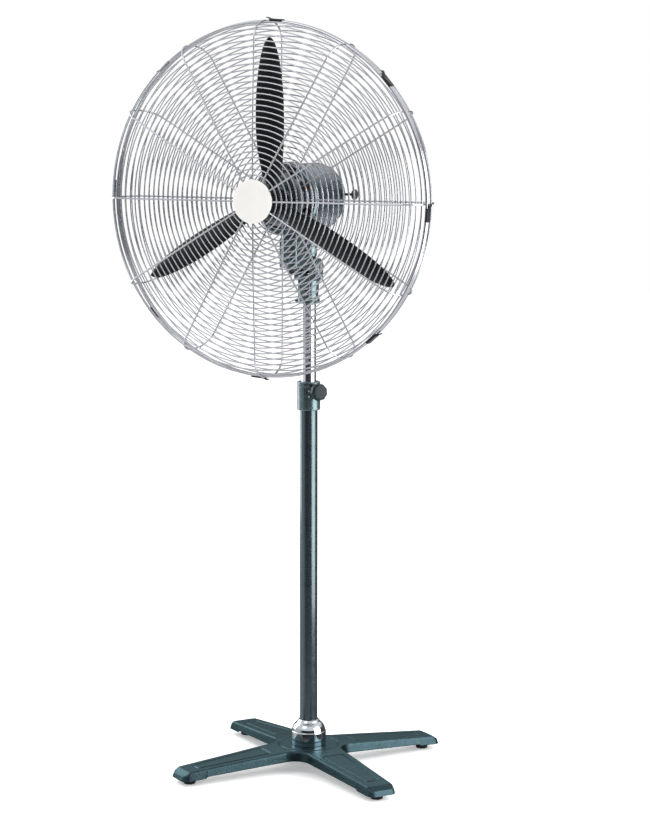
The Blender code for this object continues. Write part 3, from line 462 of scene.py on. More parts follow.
# finish: (material, slot)
FINISHES = {
    # Painted shade: the pole takes the darkened copy of the neck's enamel.
    "pole": (coating("pole_enamel_shaded", SHADED_POLE_ENAMEL, 0.24, 0.85, 0.08, 30, 700, 0.02, 0.0002,
                     coat=0.5), "enamel"),
    "base": (coating("base_enamel", (0.025, 0.046, 0.054), 0.3, 0.92, 0.1, 45, 520, 0.3, 0.0004,
                     330.0, edge=(0.72, 0.92, 0.97)), "base_enamel"),
    "motor": (coating("motor_enamel", (0.09, 0.122, 0.146), 0.25, 0.85, 0.1, 40, 520, 0.2, 0.0004,
                      300.0, coat=0.1, coat_rough=0.25), "motor_enamel"),
    "neck": (coating("neck_enamel", ENAMEL, 0.27, 0.82, 0.12, 40, 520, 0.18, 0.0003, 320.0,
                     coat=0.1), "enamel"),
    "chrome": (polished("chrome_plate", (0.7, 0.73, 0.76), 0.05), "chrome"),
    # Painted shade: a darker copy of the chrome plate, in the same slot, so the base cover looks darker
    # than the upper pole.
    "flange": (polished("flange_plate_shaded", (0.42, 0.45, 0.48), 0.06), "chrome"),
    "wire": (polished("chrome_wire", (0.475, 0.485, 0.515), 0.2, 0.05, 14.0), "guard_wire"),
    "zinc": (polished("zinc_plate", (0.56, 0.57, 0.58), 0.34, 0.06, 60.0, 0.05), "zinc"),
    "ring": (polished("die_cast", (0.42, 0.44, 0.46), 0.42, 0.06, 60.0, 0.1), "die_cast_ring"),
    "steel": (polished("turned_steel", (0.44, 0.45, 0.47), 0.32, 0.06, 60.0, 0.05, (1, 40, 1)),
              "steel"),
    "laminations": (polished("laminations", (0.22, 0.22, 0.24), 0.5, 0.06, 60.0, 0.1, (1, 60, 1)),
                    "laminations"),
    "copper": (polished("enamelled_copper", (0.55, 0.22, 0.08), 0.38, 0.06, 60.0, 0.1, (1, 1, 30)),
               "copper"),
    "bronze": (polished("sintered_bronze", (0.55, 0.4, 0.18), 0.45, 0.05, 90.0, 0.1), "bronze"),
    "aluminium": (polished("drawn_can", (0.68, 0.69, 0.71), 0.34, 0.05, 50.0, 0.04, (30, 30, 1)),
                  "aluminium"),
    "rubber": (coating("rubber", (0.01, 0.009, 0.01), 0.78, 0, 0.25, 60, 900, 0.2, 0.0003,
                       specular=0.3), "rubber"),
    "plastic": (coating("black_plastic", (0.014, 0.015, 0.016), 0.45, 0, 0.15, 50, 1200, 0.12,
                        0.0002), "black_plastic"),
    "nylon": (coating("nylon", (0.7, 0.67, 0.58), 0.48, 0, 0.05, 50, 900, 0.08, 0.0002), "nylon"),
    "knob": (coating("moulded_knob", (0.004, 0.013, 0.018), 0.34, 0, 0.12, 60, 1100, 0.1, 0.0002,
                     specular=0.2), "knob"),
    "blade": (coating("blade_enamel", (0.0042, 0.0062, 0.0068), 0.45, 0.0, 0.18, 22, 600, 0.1, 0.0003,
                      specular=0.2), "blade_black"),
    "clip": (coating("clip_enamel", (0.012, 0.014, 0.015), 0.4, 0.2, 0.15, 60, 900, 0.1, 0.0002),
             "clip_black"),
    "cream": (coating("cap_moulding", (0.82, 0.8, 0.775), 0.34, 0, 0.025, 30, 900, 0.05, 0.0002),
              "cap_cream"),
}


# ---- base ----

PANEL_START_R, PANEL_END_R = 0.116, 0.302
PANEL_START_HALF, PANEL_END_HALF = 0.027, 0.015
PANEL_CORNER = 0.009
HUB_GROOVE_R = 0.07
GROOVE_HALF, GROOVE_DEPTH = 0.0034, 0.0026
BEVEL_START_R, BEVEL_SLOPE = 0.3325, 0.62
STEP_R, STEP_RUN, STEP_RISE = 0.296, 0.006, 0.0038
BOSS_R, BOSS_LOW, BOSS_HIGH = 0.0145, 0.0121, 0.033
ACROSS = 56                     # grid cells across a leg
ALONG = 150                     # grid rows along a leg's straight part


def base_share(radius):
    return min(1.0, max(0.0, radius - WEB_R) / (LEG_END_R - WEB_R))


def base_top(radius):
    """Height of the top face. It falls off in a bevel at a leg's tip."""
    bevel = BEVEL_SLOPE * max(0.0, radius - BEVEL_START_R)
    return BASE_TOP_Z + (TIP_TOP_Z - BASE_TOP_Z) * base_share(radius) - bevel


def base_bottom(radius):
    """Lower edge of the skirt. It steps down round each foot."""
    bottom = WEB_BOTTOM_Z + (TIP_BOTTOM_Z - WEB_BOTTOM_Z) * base_share(radius)
    step = min(1.0, max(0.0, (STEP_R - radius) / STEP_RUN))
    return bottom + STEP_RISE * step * step * (3 - 2 * step)


def leg_rows():
    """(distance along the leg, half width) from the hollow between two legs to the rounded tip."""
    centre = (WEB_R + LEG_FILLET) / sqrt(2)
    rows = []
    for step in range(19):
        angle = radians(225 + 39 * step / 18)
        rows.append((centre + LEG_FILLET * cos(angle), centre + LEG_FILLET * sin(angle)))
    start_x, start_half = rows[-1]
    end_x = LEG_END_R - TIP_CUT
    for step in range(1, ALONG + 1):
        share = step / ALONG
        half = start_half + (TIP_HALF - start_half) * share
        rows.append((start_x + (end_x - start_x) * share, half))
    for step in range(1, 7):
        angle = pi / 2 * step / 6
        rows.append((end_x + TIP_CUT * sin(angle), TIP_HALF - TIP_CUT * (1 - cos(angle))))
    return rows


def panel_outline():
    """Rounded trapezoid groove on a leg, in (along, across)."""
    corners = [(PANEL_START_R, -PANEL_START_HALF), (PANEL_END_R, -PANEL_END_HALF)]
    corners += [(PANEL_END_R, PANEL_END_HALF), (PANEL_START_R, PANEL_START_HALF)]
    return np.array(eased(corners, PANEL_CORNER, ring=True, steps=6))


def distance_to_loop(points, loop):
    best = np.full(len(points), 1.0)
    for a, b in zip(loop, np.roll(loop, -1, axis=0)):
        along = b - a
        share = np.clip(((points - a) @ along) / max(1e-12, along @ along), 0, 1)
        best = np.minimum(best, np.linalg.norm(points - a - share[:, None] * along, axis=1))
    return best


def groove(distance):
    inside = np.clip(1 - (distance / GROOVE_HALF) ** 2, 0, 1)
    return GROOVE_DEPTH * inside ** 2


def cast_base():
    """Hollow cross casting with grooved legs, a rolled edge, a draughted skirt and a lip."""
    bm = bmesh.new()
    shares = [-1 + 2 * i / ACROSS for i in range(ACROSS + 1)]
    edge = leg_rows()
    side = edge[0][0]
    grid = {}
    for i, a in enumerate(shares):
        for j, b in enumerate(shares):
            grid[i, j] = bm.verts.new((a * side, b * side, 0))
    for i in range(ACROSS):
        for j in range(ACROSS):
            bm.faces.new((grid[i, j], grid[i + 1, j], grid[i + 1, j + 1], grid[i, j + 1]))
    for leg in range(LEGS):
        turn = Matrix.Rotation(leg * pi / 2, 3, "Z")
        last = None
        for x, half in edge:
            row = [bm.verts.new(turn @ Vector((x, half * share, 0))) for share in shares]
            if last:
                bridge(bm, last, row, closed=False)
            last = row
    bmesh.ops.remove_doubles(bm, verts=bm.verts, dist=0.00002)
    bm.verts.ensure_lookup_table()
    flat = np.array([v.co[:2] for v in bm.verts])
    radius = np.linalg.norm(flat, axis=1)
    sink = groove(np.abs(radius - HUB_GROOVE_R))
    loop = panel_outline()
    for leg in range(LEGS):
        c, s = cos(leg * pi / 2), sin(leg * pi / 2)
        local = flat @ np.array([[c, -s], [s, c]])
        near = np.where(local[:, 0] > 0.1)[0]
        sink[near] = np.maximum(sink[near], groove(distance_to_loop(local[near], loop)))
    for vert, r, depth in zip(bm.verts, radius, sink):
        vert.co.z = base_top(r) - depth
    skirt_base(bm)
    bm.transform(round_z(radians(BASE_TURN - 90)))
    for leg in range(LEGS):
        foot = heading(BASE_TURN + 90 * leg, FOOT_R)
        turned(bm, rod(BOSS_R, BOSS_LOW, BOSS_HIGH), 0.001, 40, at=Matrix.Translation(foot))
    return piece("base_cross", bm, "base", "stand", "base_casting", sharp=50)


def rim_in_order(bm):
    """Boundary vertices of the top face, one after another."""
    start = next(e for e in bm.edges if e.is_boundary)
    order = [start.verts[0], start.verts[1]]
    while True:
        here, before = order[-1], order[-2]
        around = [e.other_vert(here) for e in here.link_edges if e.is_boundary]
        ahead = next(vert for vert in around if vert is not before)
        if ahead is order[0]:
            return order
        order.append(ahead)


def skirt_base(bm):
    """Rolls the rim over into the skirt, turns it in at the lip, and closes the underside."""
    rim = rim_in_order(bm)
    flat = [v.co.to_2d() for v in rim]
    area = sum(a.x * b.y - a.y * b.x for a, b in zip(flat, flat[1:] + flat[:1]))
    ways = []
    for i in range(len(flat)):
        along = flat[(i + 1) % len(flat)] - flat[i - 1]
        way = Vector((along.y, -along.x)).normalized()
        ways.append(way if area > 0 else -way)
    # (spread outwards, drop below the top, share of the whole drop)
    rows = [(0.0014, 0.0004, 0), (0.0026, 0.0012, 0), (0.0036, 0.0024, 0), (0.0042, 0.0042, 0)]
    rows += [(0.0058, 0, 0.55), (0.0072, 0, 0.9), (0.0075, 0, 0.95), (0.0072, 0, 0.99)]
    rows += [(0.0066, 0, 1.0), (0.003, 0, 1.0), (0.0024, 0, 0.97), (-0.001, 0.0065, 0)]
    last = rim
    for spread, drop, share in rows:
        row = []
        for vert, way in zip(rim, ways):
            r = vert.co.to_2d().length
            top, bottom = base_top(r), base_bottom(r)
            z = top - drop - (top - bottom) * share
            row.append(bm.verts.new((vert.co.x + way.x * spread, vert.co.y + way.y * spread, z)))
        bridge(bm, last, row)
        last = row
    bm.faces.new(last)


def foot_pads():
    for leg in range(LEGS):
        foot = heading(BASE_TURN + 90 * leg, FOOT_R)
        body = [(0, 0.0124), (0.0135, 0.0124), (0.0142, 0.0095), (0.0138, 0.0085)]
        body += [(0.0145, 0.007), (0.0145, 0.002), (0.013, 0.0), (0, 0.0)]
        bm = bmesh.new()
        turned(bm, body, 0.0008, 64, at=Matrix.Translation(foot))
        piece(f"rubber_foot_{leg + 1}", bm, "rubber", "stand", f"foot_pad_{leg + 1}", sharp=35)


# ---- poles, collar and lock ----

def tube(name, node, outer, bore, finish, body):
    """Plain pole as long as its CAD node."""
    low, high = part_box(node)
    bm = bmesh.new()
    profile = [(outer, high.z), (outer, low.z), (bore, low.z), (bore, high.z)]
    turned(bm, profile, 0.0006, ring=True)
    piece(name, bm, finish, body, node, sharp=35)


def poles():
    tube("lower_pole", "outer_pole", POLE_R, POLE_BORE, "pole", "stand")

    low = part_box("pole_base_cover")[0].z
    outer = [(0.0216, 0.1142), (0.0238, 0.1142), (0.0262, 0.111), (0.0276, 0.1085), (0.0306, 0.1062)]
    outer += [(0.034, 0.1026), (0.0368, 0.0985), (0.039, 0.0935), (0.04, 0.0885), (0.04, 0.0868)]
    outer += [(0.0413, 0.0856), (0.0415, 0.084), (0.0415, low)]
    inner = [(0.0402, low), (0.0402, 0.083), (0.037, 0.095), (0.0216, 0.108)]
    bm = bmesh.new()
    turned(bm, outer + inner, 0.0009, 128, True)
    piece("chrome_flange", bm, "flange", "stand", "pole_base_cover", sharp=50)

    tube("upper_pole", "inner_pole", INNER_R, INNER_BORE, "chrome", "mast")


def collar():
    low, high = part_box("height_collar")
    groove_low, groove_high = 0.912, 0.916
    outer = [(COLLAR_R - 0.002, high.z), (COLLAR_R, high.z - 0.002), (COLLAR_R, groove_high)]
    outer += [(COLLAR_R - 0.0014, groove_high - 0.0008), (COLLAR_R - 0.0014, groove_low + 0.0008)]
    outer += [(COLLAR_R, groove_low), (COLLAR_R, low.z + 0.0015), (COLLAR_R - 0.0015, low.z)]
    bore = [(POLE_R + 0.0003, low.z), (POLE_R + 0.0003, 0.886), (0.0183, 0.886), (0.0183, high.z)]
    bm = bmesh.new()
    turned(bm, outer + bore, 0.0008, ring=True)
    way = heading(LOCK_TURN)
    boss = [(0.0105, 0.0225), (0.01, 0.029), (0.009, 0.031), (0.009, 0.035)]
    boss += [(0.0045, 0.035), (0.0045, 0.0225)]
    turned(bm, boss, 0.0009, 40, True, facing(way, (0, 0, LOCK_Z)))
    piece("pole_collar", bm, "neck", "stand", "height_collar")

    bm = bmesh.new()
    for z in (LOCK_Z - 0.0125, LOCK_Z + 0.0005):
        at = facing(heading(30), heading(30, COLLAR_R - 0.0006, z))
        spin(bm, [(0, 0.0016), (0.0014, 0.0014), (0.0022, 0.0007), (0.0024, 0.0), (0, 0.0)], 20, at=at)
    piece("collar_rivets", bm, "zinc", "stand", sharp=35)


def hand_knob(bm, radius, lobes, depth, low, high, at):
    """Lobed knob with rounded rims and a gently domed face."""
    layers = [(low, 0.0035), (low + 0.0008, 0.0014), (low + 0.003, 0.0), (high - 0.004, 0.0)]
    layers += [(high - 0.0016, 0.0007), (high - 0.0005, 0.0018), (high, 0.0032)]
    fade = 0.0048               # the lobes lose half their depth over this cut
    rows = []
    for height, cut in layers:
        shape = lobed(radius - cut, lobes, depth * (1 - 0.5 * cut / fade))
        rows.append([bm.verts.new(at @ Vector((x, y, height))) for x, y in shape])
    count = len(rows[0])
    for share, rise in ((0.7, 0.0005), (0.45, 0.0009), (0.2, 0.0011)):
        r = radius * share
        rows.append([bm.verts.new(at @ Vector((r * c, r * s, high + rise))) for c, s in circle(count)])
    for a, b in zip(rows, rows[1:]):
        bridge(bm, a, b)
    bm.faces.new(rows[-1])
    bm.faces.new(rows[0][::-1])


def lock():
    """Round lock knob with its screw, square to the collar."""
    way = heading(LOCK_TURN)
    at = facing(way, (0, 0, LOCK_Z))
    bm = bmesh.new()
    hand_knob(bm, 0.0203, 9, 0.0014, 0.0385, 0.056, at)
    turned(bm, rod(0.008, 0.04, 0.0352), 0.0005, 40, at=at)
    piece("lock_hand_knob", bm, "knob", "height_lock", "height_lock_knob")
    bm = bmesh.new()
    thread = [(0, 0.0179)]
    for turn in range(26):
        z = 0.0185 + 0.001 * turn
        thread += [(0.004, z), (0.0035, z + 0.0005)]
    spin(bm, thread + [(0.0035, 0.045), (0, 0.045)], 24, at=at)
    piece("lock_thread", bm, "zinc", "height_lock", "height_lock_screw", sharp=60)


# ---- neck and tilt ----

def ear_outline(half, foot, steps=16):
    """Upright plate with a round top about the tilt axis, in (y, z - TILT_Z). Anticlockwise."""
    points = [(-half, foot), (half, foot)]
    points += [(half * cos(pi * i / steps), half * sin(pi * i / steps)) for i in range(steps + 1)]
    return points


def along_x(x=0.0):
    """Local XY is world YZ about the tilt axis, and local Z is world X."""
    turn = Matrix(((0, 0, 1, 0), (1, 0, 0, 0), (0, 1, 0, 0), (0, 0, 0, 1)))
    return shift(x, 0, TILT_Z) @ turn


def neck():
    """Neck casting with its ears, set screws, cross bolt and the bolt's hand knob."""
    bm = bmesh.new()
    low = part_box("neck_casting")[0].z
    outer = [(0, 1.1745), (0.0255, 1.1745), (0.0255, 1.166), (0.0236, 1.142), (0.0226, 1.1215)]
    outer += [(0.0238, 1.12), (0.0262, 1.1195), (0.0262, low + 0.0005), (0.025, low)]
    outer += [(INNER_R + 0.0003, low), (INNER_R + 0.0003, 1.1585), (0, 1.1585)]
    turned(bm, outer, 0.0012)
    slot = TONGUE_HALF + 0.0004
    for side in (-1, 1):
        inner, outside = sorted((side * slot, side * EAR_HALF))
        slab(bm, ear_outline(EAR_R, -0.033), inner, outside, 0.0018, along_x())
        spot = facing((side, 0, 0), (side * EAR_HALF, 0, TILT_Z))
        turned(bm, rod(0.0125, 0.0006, -0.001), 0.0004, 40, at=spot)
    for ridge in (-0.014, 0.014):
        rib = rounded_box(0.003, 0.0034, 0.0012, 3)
        slab(bm, rib, 1.121, 1.169, 0.001, shift(ridge, -0.0222, 0))
    piece("neck_body", bm, "neck", "mast", "neck_casting")

    bm = bmesh.new()
    for turn in (-62, 62):
        way = heading(turn)
        at = facing(way, way * 0.0255 + Vector((0, 0, low + 0.0058)))
        slab(bm, hexagon(0.0042), 0.0, 0.0038, 0.0005, at)
        tip = [(0.002, 0.0062), (0.0014, 0.0068), (0, 0.0068)]
        spin(bm, [(0, 0.0038), (0.002, 0.0038)] + tip, 20, at=at)
    piece("neck_set_screws", bm, "clip", "mast")

    low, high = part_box("tilt_bolt")
    bm = bmesh.new()
    at = facing((1, 0, 0), (0, 0, TILT_Z))
    slab(bm, hexagon(0.0092), EAR_HALF + 0.0013, high.x, 0.0006, at)
    washer = [(0.0052, EAR_HALF + 0.0002), (0.011, EAR_HALF + 0.0002)]
    washer += [(0.011, EAR_HALF + 0.0014), (0.0052, EAR_HALF + 0.0014)]
    turned(bm, washer, 0.0003, 40, True, at)
    spin(bm, rod(0.005, high.x - 0.002, low.x), 32, at=at)
    piece("pivot_bolt", bm, "zinc", "mast", "tilt_bolt")

    bm = bmesh.new()
    low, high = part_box("tilt_lock_knob")
    at = facing((-1, 0, 0), (0, 0, TILT_Z))
    hand_knob(bm, 0.017, 6, 0.003, -high.x + 0.0008, -low.x, at)
    piece("tilt_hand_knob", bm, "knob", "tilt_lock", "tilt_lock_knob")


def tilt_head():
    """Yoke: tongue between the ears, socket of the swivel pin, and the crank link's anchor lug."""
    bm = bmesh.new()
    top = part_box("swivel_bush")[1].z - 0.0065
    body = [(0.0115, top), (0.019, top), (0.02, top - 0.001), (0.02, 1.229)]
    turned(bm, body + [(0.0188, 1.218), (0.0115, 1.216)], 0.001, ring=True)
    spin(bm, rod(0.012, 1.226, 1.2165))
    arc = [(y, -z) for y, z in ear_outline(0.0175, 0)[2:]]
    stem = arc + [(-0.0175, 0.026), (0.0175, 0.026)]
    slab(bm, stem[::-1], -TONGUE_HALF, TONGUE_HALF, 0.0012, along_x())
    x, y = ANCHOR
    lug = [(0, 1.2395), (0.005, 1.2395), (0.0065, 1.242), (0.0065, top), (0, top)]
    turned(bm, lug, 0.0008, 40, at=shift(x, y, 0))
    web = rounded_box(0.01, 0.012, 0.003, 3)
    slab(bm, web, 1.243, top - 0.001, 0.001, shift(x * 0.6, y * 0.62, 0))
    pin = [(0, 1.25), (0.003, 1.25), (0.003, 1.2625), (0.0025, 1.263), (0, 1.263)]
    spin(bm, pin, 24, at=shift(x, y, 0))
    piece("tilt_yoke", bm, "neck", "tilt_head", "tilt_bracket")


# ---- motor ----

def motor_front():
    """Front bell with rounded cooling slots and its four through bolts."""
    face, back = 0.124, 0.08
    outer = [(0.008, 0.14), (0.025, 0.14), (0.028, 0.1375), (0.05, 0.1375)]
    outer += [(0.05, face + 0.0004), (0.07, face - 0.0002), (0.0765, face - 0.0016)]
    outer += [(0.0812, face - 0.005), (BELL_R, face - 0.011), (BELL_R, back)]
    inner = [(0.08, back), (0.08, face - 0.014), (0.074, face - 0.006), (0.024, face - 0.004)]
    inner += [(0.024, 0.123), (0.0178, 0.123), (0.0178, 0.1368), (0.008, 0.1368)]
    bm = bmesh.new()
    turned(bm, outer + inner, 0.0014, 128, True, FAN_AXIS)
    tool = bmesh.new()
    for slot in range(8):
        turn = round_z((slot + 0.5) * pi / 4)
        at = FAN_AXIS @ turn @ shift(0.066, 0, 0)
        slab(tool, rounded_box(0.0165, 0.0098, 0.0045, 5), 0.112, 0.13, 0.0001, at)
    bm = carved(bm, tool)
    piece("motor_bell", bm, "motor", "head", "motor_front_cover")

    bm = bmesh.new()
    for bolt in range(4):
        turn = round_z(pi / 4 + bolt * pi / 2)
        at = FAN_AXIS @ turn @ shift(0.061, 0, face)
        washer = [(0.003, -0.001), (0.0062, -0.001), (0.0062, 0.0011), (0.003, 0.0011)]
        turned(bm, washer, 0.0004, 32, True, at)
        slab(bm, hexagon(0.0046), 0.001, 0.0042, 0.0005, at)
        stud = [(0, 0.006), (0.0018, 0.006), (0.0022, 0.0054), (0.0022, 0.0), (0, 0.0)]
        spin(bm, stud, 20, at=at)
    piece("motor_bolts", bm, "zinc", "head")


def motor_rear():
    front, back = 0.0797, 0.024
    outer = [(MOTOR_R, front), (MOTOR_R, back), (0.008, back)]
    inner = [(0.008, back + 0.0045), (0.0143, back + 0.0045), (0.0143, 0.041), (0.019, 0.041)]
    inner += [(0.019, back + 0.004), (MOTOR_R - 0.004, back + 0.004), (MOTOR_R - 0.004, front)]
    bm = bmesh.new()
    turned(bm, outer + inner, 0.0008, 128, True, FAN_AXIS)
    piece("motor_shell", bm, "motor", "head", "motor_rear_cover")


def gearbox_cover():
    rim, rear = -0.0303, -0.036
    profile = [(0, rim), (MOTOR_R, rim), (MOTOR_R, rear + 0.0022), (MOTOR_R - 0.0035, rear)]
    profile += [(0.056, rear), (0.0545, rear + 0.001), (0.0515, rear + 0.001), (0.05, rear)]
    profile += [(0.015, rear), (0.0138, rear + 0.0006), (0, rear + 0.0006)]
    bm = bmesh.new()
    turned(bm, profile, 0.001, 128, at=FAN_AXIS)
    piece("gearbox_lid", bm, "motor", "head", "gearbox_cover")
    bm = bmesh.new()
    back_axis = facing((0, 1, 0), (0, 0, HUB_Z))
    for index in range(4):
        turn = round_z(pi / 4 + index * pi / 2)
        at = back_axis @ turn @ shift(0.068, 0, 0.0362)
        screw_head(bm, at, 0.004, 0.0022)
    piece("gearbox_screws", bm, "zinc", "head")


def clutch_knob():
    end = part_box("oscillation_knob")[1].x
    bm = bmesh.new()
    at = facing((1, 0, 0), (0, CLUTCH_Y, CLUTCH_Z))
    hand_knob(bm, 0.0125, 18, 0.0007, end - 0.0088, end, at)
    stem = [(0, end - 0.006), (0.003, end - 0.006), (0.003, 0.064), (0.006, 0.064)]
    spin(bm, stem + [(0.006, 0.06), (0, 0.06)], 32, at=at)
    piece("clutch_pull_knob", bm, "plastic", "clutch", "oscillation_knob")


# ---- switch box ----

def switch_box():
    low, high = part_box("switch_box")
    middle = (low + high) / 2
    size = high - low
    bm = bmesh.new()
    at = shift(middle.x, middle.y, 0)
    slab(bm, rounded_box(size.x, size.y, 0.0055), low.z, HUB_Z - 0.0795, 0.0022, at)
    piece("switch_housing", bm, "neck", "head", "switch_box")

    low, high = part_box("switch_box_lid")
    middle = (low + high) / 2
    size = high - low
    bm = bmesh.new()
    at = facing((0, -1, 0), (middle.x, middle.y, middle.z))
    slab(bm, rounded_box(size.x, size.z, 0.005), -size.y / 2, size.y / 2, 0.0009, at)
    panel = rounded_box(size.x - 0.012, size.z - 0.024, 0.004)
    slab(bm, panel, size.y / 2 - 0.0003, size.y / 2 + 0.0007, 0.0003, at)
    piece("switch_lid", bm, "neck", "head", "switch_box_lid")
    bm = bmesh.new()
    for z in (-1, 1):
        spot = shift(0, z * (size.z / 2 - 0.0058), size.y / 2)
        screw_head(bm, at @ spot, 0.003, 0.0016)
    piece("lid_screws", bm, "zinc", "head")


def speed_knob():
    low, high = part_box("speed_knob")
    middle = (low + high) / 2
    bm = bmesh.new()
    at = shift(middle.x, middle.y, 0)
    skirt = [(0, high.z - 0.0003), (0.012, high.z - 0.0003), (0.012, high.z - 0.0022)]
    skirt += [(0.0112, high.z - 0.0036), (0.0098, low.z + 0.006), (0.009, low.z + 0.005)]
    turned(bm, skirt + [(0, low.z + 0.005)], 0.0008, 64, at=at)
    slab(bm, rounded_box(0.021, 0.0062, 0.0028), low.z, low.z + 0.0075, 0.001, at)
    piece("speed_grip", bm, "plastic", "speed_dial", "speed_knob")
    bm = bmesh.new()
    mark = rounded_box(0.006, 0.001, 0.0004, 2)
    at = at @ shift(0.0062, 0, 0)
    slab(bm, mark, low.z - 0.0002, low.z + 0.0005, 0.0001, at)
    piece("speed_pointer", bm, "cream", "speed_dial")


# ---- fan ----

def blade_point(radius, chord_share, lift=0.0):
    """Twisted, cambered blade that points up. The right-hand edge leads and lies further back."""
    span = (radius - BLADE_SPAN_START) / (BLADE_TIP_R - BLADE_SPAN_START)
    pitch = radians(ROOT_PITCH - TWIST * span)
    root = min(1.0, max(0.0, 1 - span / BLADE_WIDEST))
    tip = max(0.0, (span - BLADE_WIDEST) / (1 - BLADE_WIDEST))
    width = BLADE_CHORD * (1 - ROOT_NARROWING * root ** 2)
    width *= sqrt(max(0.0, 1 - tip ** TIP_POWER))
    if radius < ROOT_ROUND_R:
        rise = max(0.0, (radius - BLADE_ROOT_R) / (ROOT_ROUND_R - BLADE_ROOT_R))
        width *= ROOT_CORNER_SHARE + (1 - ROOT_CORNER_SHARE) * sin(pi / 2 * rise)
    across = chord_share * width / 2 + ROOT_OFFSET * root ** 2
    camber = CAMBER * (1 - chord_share ** 2)
    x = across * cos(pitch) + (camber + lift) * sin(pitch)
    y = across * sin(pitch) - (camber + lift) * cos(pitch)
    return Vector((x, BLADE_Y + y, radius))


def loft(bm, radii, shares, lift, thickness, at):
    """Sheet with rolled edges, between radii and chord shares."""
    count = len(shares)
    rows = []
    for radius in radii:
        front, rear = [], []
        for share in shares:
            edge = abs(share) / max(shares)
            half = thickness / 2 * sqrt(max(0.0, 1 - edge ** 10))
            front.append(blade_point(radius, share, lift + half))
            rear.append(blade_point(radius, share, lift - half))
        loop = front + rear[-2:0:-1]
        rows.append([bm.verts.new(at @ p) for p in loop])
    for a, b in zip(rows, rows[1:]):
        bridge(bm, a, b)
    for row, flip in ((rows[0], 1), (rows[-1], -1)):
        for i in range(count - 1):
            other = [(-k) % len(row) for k in (i, i + 1)]
            quad = [row[i], row[i + 1], row[other[1]], row[other[0]]]
            unique = list(dict.fromkeys(quad))
            if len(unique) > 2:
                bm.faces.new(unique[::flip])


def blade_frame(radius, share, lift, at):
    """Local +Z off the blade's front face."""
    here = blade_point(radius, share, lift)
    across = blade_point(radius, share + 0.02, lift) - here
    outwards = blade_point(radius + 0.002, share, lift) - here
    normal = across.cross(outwards)
    normal = normal if normal.y < 0 else -normal
    return at @ facing(normal, here)


def blade_radii():
    """Radii of a blade's mesh rows. The last one stops just short of the pointed end."""
    even = [BLADE_ROOT_R + EVEN_RUN * i / EVEN_ROWS for i in range(EVEN_ROWS)]
    tip = [BLADE_TIP_R - TIP_RUN * (1 - sin(pi / 2 * i / TIP_ROWS)) for i in range(TIP_ROWS)]
    return even + [r for r in tip if r > BLADE_ROOT_R + EVEN_RUN] + [BLADE_TIP_R - 0.00008]


def fan():
    """Three blades riveted to the hub's arms, and the nut that holds the hub."""
    shares = [-cos(pi * i / 22) for i in range(23)]
    arm_radii = [ARM_START_R + ARM_RUN * i / ARM_ROWS for i in range(ARM_ROWS + 1)]
    arm_shares = [-ARM_SHARE + 2 * ARM_SHARE * i / 14 for i in range(15)]
    dome = [(0, 0.0022), (0.0018, 0.002), (0.0034, 0.0012), (0.004, 0.0), (0, -0.0002)]
    boss = [(0.0063, 0.196), (0.027, 0.196), (0.03, 0.1935), (0.03, 0.17), (0.0063, 0.17)]
    hub = bmesh.new()
    turned(hub, boss, 0.0012, 96, True, FAN_AXIS)
    rivets = bmesh.new()
    for index in range(BLADES):
        at = shift(0, 0, HUB_Z) @ Matrix.Rotation(index * 2 * pi / BLADES, 4, "Y")
        bm = bmesh.new()
        loft(bm, blade_radii(), shares, BLADE_SHEET / 2, BLADE_SHEET, at)
        piece(f"fan_blade_{index + 1}", bm, "blade", "fan", f"blade_{index + 1}", sharp=60)
        loft(hub, arm_radii, arm_shares, -0.0022, ARM_SHEET, at)
        for radius, share in ((0.06, 0.32), (0.06, -0.32), (0.088, 0.3), (0.088, -0.3)):
            spin(rivets, dome, 24, at=blade_frame(radius, share, 0.0019, at))
            tail = blade_frame(radius, share, -0.0036, at) @ Matrix.Rotation(pi, 4, "X")
            spin(rivets, dome, 24, at=tail)
    piece("fan_spider", hub, "blade", "fan", "fan_hub")
    piece("blade_rivets", rivets, "clip", "fan", sharp=50)

    bm = bmesh.new()
    slab(bm, hexagon(0.0128), 0.1964, 0.206, 0.0008, FAN_AXIS)
    crown = [(0, 0.2112), (0.005, 0.211), (0.0088, 0.209), (0.01, 0.2058), (0, 0.2058)]
    turned(bm, crown, 0.0008, 48, at=FAN_AXIS)
    piece("hub_nut", bm, "zinc", "fan", "fan_nut", sharp=30)


# ---- guards ----

def guard_line(depth, rise, inner):
    """Function from the distance along the cage's side to (radius, depth), and its whole length."""
    arc = GUARD_CORNER * pi / 2
    flat = GUARD_R - GUARD_CORNER - inner

    def spot(distance):
        if distance < arc:
            turn = distance / GUARD_CORNER
            grow = depth / GUARD_CORNER
            radius = GUARD_R - GUARD_CORNER * (1 - cos(turn))
            return radius, GUARD_CORNER * grow * sin(turn)
        share = (distance - arc) / flat
        return GUARD_R - GUARD_CORNER - (distance - arc), depth + rise * sin(share * pi / 2)

    return spot, arc + flat


